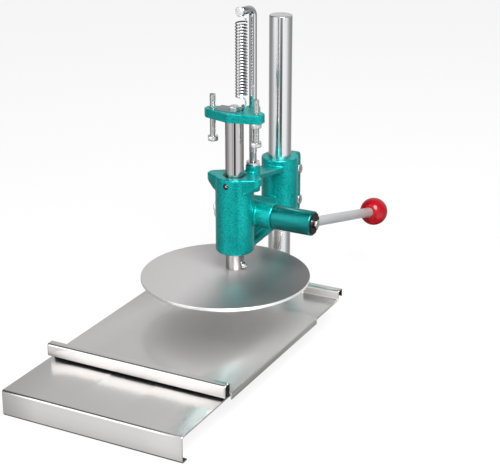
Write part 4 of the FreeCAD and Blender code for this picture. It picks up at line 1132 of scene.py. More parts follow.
@dataclass
class Base:
    """Base sheet, cast foot and column."""

    half_width: float = 120.0
    front: float = -349.0
    rear: float = 58.0
    height: float = 33.0
    gauge: float = 1.8
    hem: float = 11.0
    bend: float = 3.3
    front_seam: float = 1.0
    relief: float = 53.7
    leg_inner: float = 39.0
    leg_outer: float = 73.0
    tongue: float = 36.0
    screw_x: float = 13.0
    screw_ys: Range = (-84.0, 92.0)
    screw_hole: float = 4.3
    column_y: float = 131.0
    column_radius: float = 15.5
    column_top: float = 391.0
    column_edge: float = 0.8
    column_lift: float = 0.1
    column_gap: float = 0.5
    socket: float = 17.0
    foot_nose: Flat = (22.0, -92.0)
    foot_boss: float = 34.0
    foot_bolt: float = 5.2
    foot_bolt_head: Flat = (11.5, 8.0)

    def build(self) -> None:
        """Make the sheet, the foot and the column."""
        wear(self.sheet(), "stainless_sheet", "base", "base_sheet")
        wear(self.foot(), "cast_paint", "base", "column_foot")
        wear(self.column(), "chrome_steel", "base", "column")

    def sheet(self) -> Object:
        """Bend the base sheet: hem, front leg, top, two rear legs and the tongue.

        Returns:
            The sheet.
        """
        skin = Skin()
        front, height, tongue = self.front, self.height, self.tongue
        level = front + self.bend + self.front_seam
        stops = [-self.half_width, -self.leg_outer, -self.leg_inner, -tongue,
                 tongue, self.leg_inner, self.leg_outer, self.half_width]
        left, right = stops[:4], stops[4:]
        skin.strip(rounded(
            [(front + self.hem, 0), (front, 0), (front, height), (level, height)],
            [0, self.bend, self.bend, 0]), stops)
        leg = rounded([(self.relief, height), (self.rear, height), (self.rear, 0)],
                      [0, self.bend, 0])
        for half in (left, right):
            skin.strip([(level, height), (self.relief, height)], half)
        skin.strip(leg, left[1:3])
        skin.strip(leg, right[1:3])
        round_end = arc((0, self.column_y), tongue, 0, 180, steps=32)
        outline = [(-tongue, self.relief), (-tongue, level), (tongue, level),
                   (tongue, self.relief), *round_end]
        holes = [ring((0, self.column_y), self.column_radius + self.column_gap,
                      SMALL_STEPS)]
        holes += [ring((x, y), self.screw_hole, count=24)
                  for x in (-self.screw_x, self.screw_x) for y in self.screw_ys]
        skin.plate(outline, holes, height)
        return skin.thicken("base_shell", self.gauge, edge=0.35)

    def foot(self) -> Object:
        """Cast the foot that carries the column under the sheet.

        Returns:
            The foot.
        """
        radius, nose = self.foot_nose
        y, top = self.column_y, self.height - self.gauge
        slope = math.degrees(math.asin((self.foot_boss - radius) / (y - nose)))
        outline = arc((0, nose), radius, 180 - slope, 360 + slope, steps=24)
        outline += arc((0, y), self.foot_boss, slope, 180 - slope, steps=36)
        head_radius, head_top = self.foot_bolt_head
        obj = finished("foot_casting", prism(bmesh.new(), outline, 0, top))
        return carved(eased(obj, width=1.4, segments=3), [
            drum(head_radius, -PAST, head_top, at(0, y)),
            drum(self.foot_bolt, -PAST, top + PAST, at(0, y)),
            drum(self.column_radius + CLEAR, top - self.socket, top + PAST, at(0, y)),
        ])

    def column(self) -> Object:
        """Turn the column.

        Returns:
            The column.
        """
        low = self.height - self.gauge - self.socket + self.column_lift
        radius, top = self.column_radius - CLEAR, self.column_top
        profile = rounded(
            [(0, low), (radius, low), (radius, top - self.column_edge),
             (self.column_radius - self.column_edge, top), (0, top)],
            [0, 0.2, 0.3, 0.3, 0], steps=3)
        return turned("column_bar", profile, at(0, self.column_y), steps=160)


@dataclass
class Tray:
    """Sliding tray with folded lips and side flanges."""

    half_width: float = 122.0
    shoulder: float = 2.4
    front: float = -254.0
    rear: float = 74.0
    top: float = 34.8
    gauge: float = 1.5
    lip: float = 12.5
    lip_foot: float = 2.5
    edge: float = 36.0
    front_top: float = 51.5
    rear_top: float = 47.0
    bend: float = 3.1
    inner_bend: float = 1.6
    flange_bend: float = 1.9
    notch: float = 70.85
    flange_ends: Range = (-238.0, -6.0)
    flange_low: float = 27.4

    def build(self) -> None:
        """Make the tray."""
        wear(self.sheet(), "stainless_sheet", "tray", "tray")

    def lip_path(self, outer: float, inner: float, top: float, floor: float) -> Outline:
        """Profile of a folded lip, from its free edge to the floor of the tray.

        Args:
            outer: Depth of its outer side.
            inner: Depth of its inner side.
            top: Height of its top.
            floor: Depth at which the floor starts.

        Returns:
            The points of the profile.
        """
        corners = [(outer, self.edge), (outer, top), (inner, top), (inner, self.top),
                   (floor, self.top)]
        return rounded(corners, [0, self.bend, self.bend, self.inner_bend, 0])

    def sheet(self) -> Object:
        """Bend the tray from one sheet.

        Returns:
            The tray.
        """
        skin = Skin()
        half, top = self.half_width, self.top
        side = half - self.shoulder
        stops = [-half, -side, -self.notch, self.notch, side, half]
        front_inner, rear_inner = self.front + self.lip, self.rear - self.lip
        front_floor = front_inner + self.lip_foot
        rear_floor = rear_inner - self.lip_foot
        front = self.lip_path(self.front, front_inner, self.front_top, front_floor)
        skin.strip(front, stops)
        rear = self.lip_path(self.rear, rear_inner, self.rear_top, rear_floor)
        for part in (stops[:3], stops[3:]):
            skin.strip(rear, part)
        skin.strip([(rear_floor, top), (rear_inner - self.inner_bend, top)], stops[2:4])
        rows = [front_floor, *self.flange_ends, rear_floor]
        for ends in zip(rows, rows[1:]):
            skin.strip([(y, top) for y in ends], stops[1:5])
        for sign in (-1, 1):
            flat = [(side * sign, top), (half * sign, top)]
            skin.side(flat, rows[:2])
            skin.side(flat, rows[2:])
            down = [*flat, (half * sign, self.flange_low)]
            skin.side(rounded(down, [0, self.flange_bend, 0], steps=4), rows[1:3])
        return skin.thicken("tray_shell", self.gauge, edge=0.3)


@dataclass
class PressDisc:
    """Pressing disc."""

    radius: float = 110.0
    centre_y: float = -26.5
    low: float = 77.0
    top: float = 81.0
    edge: float = 0.9
    level_rise: float = 0.9

    def build(self) -> None:
        """Make the disc."""
        wear(self.disc(), "disc_steel", "ram", "press_disc")

    def disc(self) -> Object:
        """Turn the disc, bright at its rim, with a paler copy of its steel on the faces
        below as painted light.

        Returns:
            The disc.
        """
        profile = rounded(slug(self.radius, self.low, self.top),
                          [0, self.edge, self.edge, 0], steps=4)
        obj = turned("disc_plate", profile, at(0, self.centre_y), steps=256)
        coat(obj, "disc_steel", "disc_rim", "disc_under_painted_light")
        # the faces that look down get the paler steel: painted light for the shaded
        # underside
        for face in obj.data.polygons:
            rise = face.normal.z
            on_rim = abs(rise) < self.level_rise
            face.material_index = 1 if on_rim else 2 * int(rise < 0)
        return obj


@dataclass
class Ram:
    """Ram with its rack, the crossbar and what is bolted to it."""

    radius: float = 12.0
    low: float = 81.05
    shoulder: float = 282.5
    neck: float = 8.0
    bar_top: float = 294.0
    flat: float = 11.0
    module: float = 1.5
    pressure: float = 20.0
    play: float = 0.04
    dedendum: float = 1.25
    pinion_z: float = 152.0
    gaps: int = 13
    gaps_below: int = 2
    mill: float = 13.0
    mill_rear: float = 14.0
    stop_x: float = 31.0
    stop_z: float = 257.0
    guide: Flat = (13.0, 26.0)
    lug: float = 9.5
    lug_arm: Triple = (9.0, 8.0, 12.0)  # half its width at the bar and the lug, length
    lug_bore: float = 5.35
    stop_bore: float = 4.1
    bar_plan: tuple[Flat, ...] = (
        (0, -19.6), (36, -9), (40.6, -4.5), (40.6, 5), (36, 9), (14, 20), (-4, 20),
        (-36, 9), (-40.6, 5), (-40.6, -4.5), (-36, -9),
    )
    plate_gauge: float = 1.5
    plate_x: Range = (-24.5, 7.4)
    plate_y: Range = (-9.0, 12.0)
    hook_hole: Triple = (10.33, 4.27, 297.6)
    hole_radius: float = 1.9
    ear_half: float = 3.0
    ear_height: float = 6.4
    bolt_gap: float = 0.06

    def build(self) -> None:
        """Make the ram, the crossbar, the plate and the bolts."""
        wear(self.bar(), "chrome_steel", "ram", "ram", look="ram_chrome")
        wear(self.crossbar(), "cast_paint", "ram", "crossbar")
        wear(self.plate(), "zinc_steel", "ram", "spring_plate", look="dull_zinc")
        place = at(0, 0, self.bar_top + self.plate_gauge + self.bolt_gap)
        screw = bolt("crossbar_screw", M8, LOW_HEAD, length=24, place=place)
        wear(screw, "zinc_steel", "ram", "crossbar_bolt")
        for name, sign in (("left_stop", -1), ("right_stop", 1)):
            place = facing((0, 0, -1), self.stop_x * sign, 0, self.stop_z)
            stop = bolt(f"{name}_screw", M8, head=6, length=55, place=place)
            wear(stop, "zinc_steel", name, f"{name}_bolt")
        place = facing((0, 0, -1), self.stop_x, 0, self.shoulder - CLEAR)
        nut = hex_head("stop_nut", M8, NUT, place, bored=True)
        wear(nut, "zinc_steel", "ram", "lock_nut")

    def rack_gap(self, height: float) -> BMesh:
        """The body of one gap of the rack.

        Args:
            height: Height of its middle.

        Returns:
            The body.
        """
        slope = math.tan(math.radians(self.pressure))
        line = self.flat - self.module
        half = math.pi * self.module / 4 + self.play
        points = []
        for x in (-self.mill, self.mill):
            for depth in (line - self.dedendum * self.module, self.mill_rear):
                reach = half + (depth - line) * slope
                points += [(x, depth, height - reach), (x, depth, height + reach)]
        return hull(bmesh.new(), points)

    def bar(self) -> Object:
        """Turn the ram and mill its rack.

        Returns:
            The ram.
        """
        top = self.bar_top - 0.3
        profile = rounded(
            [(0, self.low), (self.radius, self.low), (self.radius, self.shoulder),
             (self.neck, self.shoulder), (self.neck, top), (0, top)],
            [0, 0.9, 0.3, 0, 0.5, 0], steps=4)
        obj = turned("ram_bar", profile, at(), FINE_STEPS)
        pitch = math.pi * self.module
        start = self.pinion_z - self.gaps_below * pitch
        end = start + pitch * (self.gaps - 0.5)
        mill = self.mill
        low_corner = -mill, self.flat, start - pitch / 2
        tools = [block(low_corner, (mill, self.mill_rear, end))]
        tools += [self.rack_gap(start + pitch * k) for k in range(self.gaps)]
        return carved(obj, tools)

    def crossbar(self) -> Object:
        """Cast the crossbar with its lug.

        Returns:
            The crossbar.
        """
        x, y = self.guide
        low, high = self.shoulder, self.bar_top
        bm = prism(bmesh.new(), self.bar_plan, low, high)
        lathe(bm, slug(self.lug, low, high), at(x, y))
        root, tip, length = self.lug_arm
        prism(bm, [(x - root, y - length), (x + root, y - length), (x + tip, y),
                   (x - tip, y)], low, high)
        ends = low - PAST, high + PAST
        return carved(cast("crossbar_casting", bm, voxel=0.75, passes=5), [
            drum(self.lug_bore, *ends, at(x, y)),
            drum(self.neck + CLEAR, *ends),
            *[drum(self.stop_bore, *ends, at(stop_x), SMALL_STEPS)
              for stop_x in (-self.stop_x, self.stop_x)],
        ])

    def plate(self) -> Object:
        """Bend the plate that holds the lower hook of the spring.

        Returns:
            The plate.
        """
        skin = Skin()
        x, y, z = self.hook_hole
        left, right = self.plate_x
        front, rear = self.plate_y
        base, outer = self.bar_top + self.plate_gauge, x - self.plate_gauge
        seams = [y - self.ear_half, y + self.ear_half]
        skin.side([(left, base), (right, base)], [front, *seams, rear])
        ear = [(right, base), (outer, base), (outer, base + self.ear_height)]
        skin.side(rounded(ear, [0, 1.2, 0], steps=4), seams)
        obj = skin.thicken("hook_plate", self.plate_gauge, edge=0.2)
        obj.data.materials.clear()
        reach = 4 * self.plate_gauge
        across = facing((1, 0, 0), x, y, z)
        return carved(obj, [drum(self.hole_radius, -reach, reach, across, steps=32)])


@dataclass
class Head:
    """Head casting with its clamp screws, set screw and guide rod."""

    barrel: float = 25.0
    barrel_low: float = 105.4
    way: float = 13.0
    bush_seat: Flat = (15.02, 206.7)
    top: float = 208.7
    flange_plan: tuple[Flat, ...] = (
        (24, -14), (33.5, -8.5), (37.5, -4.5), (37.5, 4.5), (33.5, 8.5), (24, 15),
        (18.7, 18.7),
    )
    flange_nose: float = -25.8
    flange_depth: float = 18.5
    ear_ends: Range = (24.0, 37.5)
    ear_rise: float = 9.0
    housing: float = 17.5
    housing_ends: Range = (-30.0, 47.0)
    pinion: Flat = (23.0, 152.0)
    pinion_bore: Flat = (15.5, 13.0)
    shaft_bore: float = 10.02
    clamp_y: float = 131.0
    clamp: float = 25.0
    clamp_ends: Range = (100.0, 197.0)
    clamp_bore: float = 15.55
    clamp_half: float = 12.0
    clamp_slot: float = 1.5
    clamp_rear: float = 173.0
    clamp_ear_ends: Range = (106.5, 195.0)
    beams: tuple[tuple[float, Range, Range], ...] = (
        (15.0, (197.5, 204), (180.5, 187)),
        (15.0, (103, 110), (108.5, 115.5)),
        (6.0, (104, 180), (109.5, 142)),
    )
    beam_ends: Flat = (0.5, 0.6)  # inside the two barrels, in shares of their radii
    guide: Flat = (13.0, 26.0)
    guide_boss: Triple = (9.5, 182.0, 217.0)
    guide_bore: float = 5.02
    bolt_y: float = 162.5
    bolt_zs: Range = (126.0, 171.0)
    bolt_bore: float = 4.2
    set_screw_z: float = 200.0
    set_screw_bore: float = 4.02
    set_screw_socket: Flat = (4.0, 2.4)
    arm_heading: float = 257.0
    rod: float = 5.0
    rod_foot: tuple[Flat, ...] = ((186, 4.0), (187, 4.2), (232, 4.2), (234.5, 5.0))
    rod_thread: Range = (188.0, 233.0)
    rod_top: float = 420.0
    rod_bend: float = 9.0
    rod_end: tuple[Flat, ...] = (
        (19.6, 5.0), (20.5, 4.6), (20.5, 3.5), (24.1, 3.5), (24.1, 5.2), (24.8, 5.95),
        (27.4, 5.95), (28.25, 5.2), (28.3, 4.0),
    )
    rod_cap: float = 24.3
    set_screw_profile: tuple[Flat, ...] = (
        (0, -10.4), (3.98, -10.4), (3.98, -0.9), (3.2, -0.15), (0, 0.0),
    )

    def build(self) -> None:
        """Make the casting, the rod and the screws."""
        wear(self.casting(), "cast_paint", "head", "head_casting")
        wear(self.guide_rod(), "bright_steel", "head", "guide_rod")
        place = at(*self.guide, self.guide_boss[2] + CLEAR)
        nut = hex_head("guide_rod_nut", M10, height=5, place=place, bored=True)
        wear(nut, "zinc_steel", "head", "guide_nut")
        wear(self.set_screw(), "black_steel", "head", "bush_screw")
        self.clamp_screws()

    def flange(self, bm: BMesh) -> None:
        """Add the diamond flange whose ears thin outward.

        Args:
            bm: Mesh that receives it.
        """
        start, end = self.ear_ends
        left = [(-x, y) for x, y in self.flange_plan]
        points = []
        for x, y in ((0, self.flange_nose), *self.flange_plan, *left):
            outward = max(abs(x) - start, 0) / (end - start)
            low = self.top - self.flange_depth + self.ear_rise * outward
            points += [(x, y, self.top), (x, y, low)]
        hull(bm, points)

    def beam(self, bm: BMesh, half: float, front: Range, rear: Range) -> None:
        """Add a bar from the front barrel to the clamp barrel.

        Args:
            bm: Mesh that receives it.
            half: Half its width.
            front: Its lower and upper height at the front.
            rear: Its lower and upper height at the rear.
        """
        first, last = self.beam_ends
        start, end = self.barrel * first, self.clamp_y - self.clamp * last
        points = []
        for x in (-half, half):
            points += [(x, start, z) for z in front] + [(x, end, z) for z in rear]
        hull(bm, points)

    def casting(self) -> Object:
        """Cast the head and bore it.

        Returns:
            The casting.
        """
        rear, guide = at(0, self.clamp_y), at(*self.guide)
        across = facing((1, 0, 0), 0, *self.pinion)
        left, right = self.housing_ends
        bm = bmesh.new()
        barrel = slug(self.barrel, self.barrel_low, self.top)
        lathe(bm, rounded(barrel, [0, 3.5, 0.5, 0]), steps=FINE_STEPS)
        self.flange(bm)
        lathe(bm, slug(self.housing, left, right), across)
        lathe(bm, slug(self.clamp, *self.clamp_ends), rear, steps=FINE_STEPS)
        start, end = self.clamp_y, self.clamp_rear
        low, high = self.clamp_ear_ends
        ears = rounded([(start, low), (end, low), (end, high), (start, high)],
                       [0, 8, 8, 0])
        upright = Matrix(((0, 0, 1, 0), (1, 0, 0, 0), (0, 1, 0, 0), (0, 0, 0, 1)))
        prism(bm, ears, -self.clamp_half, self.clamp_half, upright)
        lathe(bm, slug(*self.guide_boss), guide)
        for half, at_front, at_rear in self.beams:
            self.beam(bm, half, at_front, at_rear)
        front = facing((0, -1, 0), 0, -self.way, self.set_screw_z)
        seat, seat_low = self.bush_seat
        pinion_bore, pinion_end = self.pinion_bore
        slot = self.clamp_slot
        bolts = [facing((1, 0, 0), 0, self.bolt_y, z) for z in self.bolt_zs]
        # Each cutter runs past the faces that it opens.
        return carved(cast("head_body", bm, voxel=1.0, passes=9), [
            drum(self.way, 100, 215),
            drum(seat, seat_low, 215),
            drum(self.clamp_bore, 95, 205, rear),
            drum(pinion_bore, left - 5, pinion_end, across),
            drum(self.shaft_bore, 0, right + 5, across),
            drum(self.set_screw_bore, 0, 20, front, SMALL_STEPS),
            drum(self.guide_bore, 185, 225, guide, SMALL_STEPS),
            block((-slot, self.clamp_y, 90), (slot, 180, 205)),
            *[drum(self.bolt_bore, -20, 20, place, SMALL_STEPS) for place in bolts],
        ])

    def guide_rod(self) -> Object:
        """Bend the guide rod, with its thread below and its groove above.

        Returns:
            The rod, whose end cap has a finish of its own.
        """
        out = spoke(1, math.radians(self.arm_heading), 0)
        foot = Vector((*self.guide, 0))
        low = self.rod_top - self.rod_bend
        stations = [(0, z, radius) for z, radius in self.rod_foot]
        stations.append((0, low, self.rod))
        for step in range(1, BEND_STEPS + 1):
            turn_rad = math.radians(90 * step / BEND_STEPS)
            stations.append((self.rod_bend * (1 - math.cos(turn_rad)),
                             low + self.rod_bend * math.sin(turn_rad), self.rod))
        stations += [(reach, self.rod_top, radius) for reach, radius in self.rod_end]
        path = [foot + out * reach + Vector((0, 0, z)) for reach, z, _ in stations]
        radii = [radius for *_, radius in stations]
        bar = finished("guide_rod_bar", sweep(bmesh.new(), path, radii, sides=40))
        bm = thread(bmesh.new(), M10.shank, M10.pitch, *self.rod_thread,
                    at(*self.guide))
        screw = finished("guide_rod_thread", bm, THREAD_SHARP)
        obj = joined("guide_rod_steel", [bar, screw])
        coat(obj, "polished_rod", "disc_rim")
        for face in obj.data.polygons:
            reach = (face.center / MM - foot).dot(out)
            face.material_index = int(reach > self.rod_cap)
        return obj

    def set_screw(self) -> Object:
        """Turn the screw that holds the upper bush, with its hexagon socket and a
        bright dome in the socket as a painted highlight.

        Returns:
            The screw.
        """
        place = facing((0, -1, 0), 0, -self.barrel, self.set_screw_z)
        rim = turned("set_screw_rim", self.set_screw_profile, place, SMALL_STEPS)
        flats, depth = self.set_screw_socket
        carved(rim, [prism(bmesh.new(), hexagon(flats), -depth, PAST, place)])
        # painted highlight: a dome of bright steel at the bottom of the black socket,
        # so the screw's centre reads as a glint
        dome = rounded(slug(radius=1.9, low=-2.5, high=-0.5), [0, 0, 1.6, 0])
        glint_dome = turned("set_screw_glint_dome", dome, place, SMALL_STEPS)
        for face in glint_dome.data.polygons:
            face.material_index = 1
        obj = joined("set_screw", [rim, glint_dome])
        coat(obj, "black_steel", "bright_steel")
        return obj

    def clamp_screws(self) -> None:
        """Make the two clamp screws and their nuts."""
        screws, nuts, seat = [], [], self.clamp_half + CLEAR
        for number, z in enumerate(self.bolt_zs):
            place = facing((1, 0, 0), seat, self.bolt_y, z)
            name = f"clamp_screw_{number}"
            screws.append(bolt(name, M8, LOW_HEAD, length=33, place=place))
            place = facing((-1, 0, 0), -seat, self.bolt_y, z)
            nuts.append(hex_head(f"clamp_nut_{number}", M8, NUT, place, bored=True))
        wear(joined("clamp_screws", screws), "zinc_steel", "head", "clamp_bolts")
        wear(joined("clamp_screw_nuts", nuts), "zinc_steel", "head", "clamp_nuts")


@dataclass
class ReturnSpring:
    """Tension spring that pulls the ram up."""

    axis: Flat = (7.98, 4.27)
    heading: float = 347.0
    coil: float = 7.1
    wire: float = 0.9
    low: float = 312.0
    high: float = 407.0
    turns: float = 25.0
    lead: float = 25.0
    hook: float = 305.1
    hook_tail: int = 2
    eye: float = 420.0
    loop: float = 4.5
    wrap: float = 200.0
    leaving: Triple = (0.985, 0.16, 1.7)  # off the coil: shares of its radius, height
    climb: float = 3.6
    swing: float = 0.16
    held: Range = (409.0, 309.0)

    def build(self) -> None:
        """Make the spring, held at the rod above and at the plate below, with painted
        shade on the inside of its coil.
        """
        obj = finished("tension_spring", self.tube(), sharp=80.0)
        coat(obj, "spring_steel", "spring_inside_painted_shade")
        x, y = (length * MM for length in self.axis)
        # painted shade: coil faces that look in towards the axis get the dark wire
        for face in obj.data.polygons:
            out = Vector((face.center.x - x, face.center.y - y, 0)).normalized()
            inward = out.dot(face.normal) < -0.25
            in_coil = self.low < face.center.z / MM < self.high
            face.material_index = int(in_coil and inward)
        wear(obj, "spring_steel", "", "return_spring")
        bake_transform(obj)

    def upright(self, radius: float, angle_rad: float, centre: float) -> Vector:
        """A point of a circle that stands in the plane of the hooks."""
        return Vector((radius * math.cos(angle_rad), 0,
                       centre + radius * math.sin(angle_rad)))

    def lower_hook(self) -> list[Vector]:
        """Centre line of the lower hook, up to the coil.

        Returns:
            Its points, round the spring's own axis.
        """
        count = 2 * BEND_STEPS
        points = []
        for step in range(-self.hook_tail, count + 1):
            angle_rad = math.radians(-90 + 90 * step / count)
            points.append(self.upright(self.coil, angle_rad, self.hook))
        for share in (0.25, 0.5, 0.75):
            height = self.hook + (self.low - self.hook) * share
            points.append(spoke(self.coil, math.radians(-self.lead * share**2), height))
        return points

    def winding(self) -> list[Vector]:
        """Centre line of the coil.

        Returns:
            Its points, round the spring's own axis.
        """
        span = 360 * self.turns - 2 * self.lead
        count = round(span * COIL_STEPS / 360)
        return [spoke(self.coil, math.radians(-self.lead - span * step / count),
                      self.low + (self.high - self.low) * step / count)
                for step in range(count + 1)]

    def upper_hook(self) -> list[Vector]:
        """Centre line from the coil's end to the loop over the rod.

        Returns:
            Its points, round the spring's own axis.
        """
        start = Vector((self.coil, 0, self.high + self.climb))
        end = Vector((-self.loop, 0, self.eye))
        outward, sideways, rise = self.leaving
        points = [Vector((self.coil * outward, self.coil * sideways, self.high + rise))]
        for step in range(BEND_STEPS + 1):
            share = step / BEND_STEPS
            lift = share + self.swing * math.sin(TURN_RAD * share)
            ease = 0.5 - 0.5 * math.cos(math.pi * share)
            points.append(Vector((start.x + (end.x - start.x) * ease, 0,
                                  start.z + (end.z - start.z) * lift)))
        count = 3 * BEND_STEPS // 2
        for step in range(1, count + 1):
            angle_rad = math.radians(180 - self.wrap * step / count)
            points.append(self.upright(self.loop, angle_rad, self.eye))
        return points

    def tube(self) -> BMesh:
        """The wire as a round bar along its centre line.

        Returns:
            Its mesh.
        """
        place = at(*self.axis) @ Matrix.Rotation(math.radians(self.heading), 4, "Z")
        points = self.lower_hook() + self.winding() + self.upper_hook()
        path = [place @ point for point in points]
        return sweep(bmesh.new(), path, [self.wire] * len(path), sides=12)


@dataclass
class Lever:
    """Hub, rod and ball knob."""

    hub: float = 16.0
    hub_ends: Range = (47.5, 102.0)
    hub_bore: float = 8.02
    hub_rim: float = 10.0
    hub_seat: float = 1.2
    pinion: Flat = (23.0, 152.0)
    rod_x: float = 94.0
    rod: float = 6.5
    rod_fit: float = 0.05
    rod_drill: Range = (2.0, 30.0)
    rod_neck: float = 5.0
    rod_grip: float = 20.0
    droop: float = 14.4
    reach: float = 229.0
    tail: float = 8.8
    knob: float = 19.6
    knob_fit: float = 0.05
    knob_flat: float = 9.0
    knob_bore: Triple = (5.1, -17.4, -10.0)
    hub_screw_x: float = 103.24
    shaft_screw_x: float = -36.34

    def build(self) -> None:
        """Make the hub, the rod, the knob and the screws."""
        wear(self.hub_bar(), "hub_paint", "lever", "lever_hub")
        wear(self.rod_bar(), "bright_steel", "lever", "lever_rod", look="lever_satin")
        wear(self.ball(), "red_plastic", "lever", "ball_knob")
        place = facing((1, 0, 0), self.hub_screw_x, *self.pinion)
        screw = bolt("hub_screw", M6, LOW_HEAD, length=20, place=place)
        wear(screw, "zinc_steel", "lever", "hub_bolt")
        place = facing((-1, 0, 0), self.shaft_screw_x, *self.pinion)
        screw = bolt("shaft_screw", M8, LOW_HEAD, length=14, place=place)
        wear(screw, "zinc_steel", "lever", "shaft_bolt")

    def on_rod(self, along: float = 0.0) -> Matrix:
        """The place on the rod's axis at a distance from the hub's axis.

        Args:
            along: The distance.

        Returns:
            The place, whose height runs outward along the rod.
        """
        slope_rad = math.radians(self.droop)
        out = Vector((0, math.cos(slope_rad), -math.sin(slope_rad)))
        y, z = self.pinion
        return facing(out, self.rod_x, y + along * out.y, z + along * out.z)

    def hub_bar(self) -> Object:
        """Turn the hub and drill it for the rod.

        Returns:
            The hub.
        """
        start, end = self.hub_ends
        seat = end - self.hub_seat
        profile = rounded(
            [(self.hub_bore, start), (self.hub, start), (self.hub, end),
             (self.hub_rim, end), (self.hub_rim, seat), (self.hub_bore, seat)],
            [0, 0.8, 1.7, 0.3, 0, 0], steps=4)
        across = facing((1, 0, 0), 0, *self.pinion)
        obj = turned("hub_body", profile, across, FINE_STEPS, closed=True)
        drill = drum(self.rod + self.rod_fit, *self.rod_drill, self.on_rod())
        return carved(obj, [drill])

    def rod_bar(self) -> Object:
        """Turn the lever rod.

        Returns:
            The rod.
        """
        low = -self.tail
        shoulder = self.reach - math.sqrt(self.knob**2 - self.knob_flat**2)
        end = shoulder + self.rod_grip
        profile = rounded(
            [(0, low), (self.rod, low), (self.rod, shoulder), (self.rod_neck, shoulder),
             (self.rod_neck, end), (0, end)],
            [0, 0.8, 0.8, 0, 0.8, 0], steps=3)
        return turned("lever_bar", profile, self.on_rod(), ROUND_STEPS)

    def ball(self) -> Object:
        """Turn the ball knob, flat where the rod meets it.

        Returns:
            The knob.
        """
        flat = math.degrees(math.asin(self.knob_flat / self.knob))
        radius = self.knob - self.knob_fit
        bore, mouth, end = self.knob_bore
        side = [(r, h) for h, r in arc((0, 0), radius, 180 - flat, 0, steps=60)]
        profile = [(0, end), (bore, end), (bore, mouth), *side[:-1], (0, radius)]
        return turned("knob_ball", profile, self.on_rod(self.reach), FINE_STEPS)


KEPT_NODES = {
    "base_screws": "zinc_steel",
    "foot_bolt": "zinc_steel",
    "disc_spindle": "chrome_steel",
    "disc_screw": "zinc_steel",
    "pinion_shaft": "bright_steel",
    "hub_pin": "bright_steel",
    "hub_washer": "zinc_steel",
    "shaft_washer": "zinc_steel",
    "lower_ram_bush": "bronze",
    "upper_ram_bush": "bronze",
    "right_shaft_bush": "bronze",
    "left_shaft_bush": "bronze",
    "housing_cap": "bright_steel",
}
KEPT_LOOKS = {"hub_washer": "black_zinc"}


def dress_kept_nodes() -> None:
    """Give the solids that stay their finishes."""
    for name, slot in KEPT_NODES.items():
        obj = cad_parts[name]
        for holder in obj.material_slots:
            holder.material = finish(KEPT_LOOKS.get(name, slot))
        log.info("%s: solid kept, finish %s", name, slot)


# The studio


@dataclass(frozen=True)
class Lamp:
    """A square soft lamp, by its direction from the machine and its distance."""

    name: str
    azimuth: float
    elevation: float
    size_m: float
    power: float
    mirrored: bool = False
    distance_m: float = 1.6


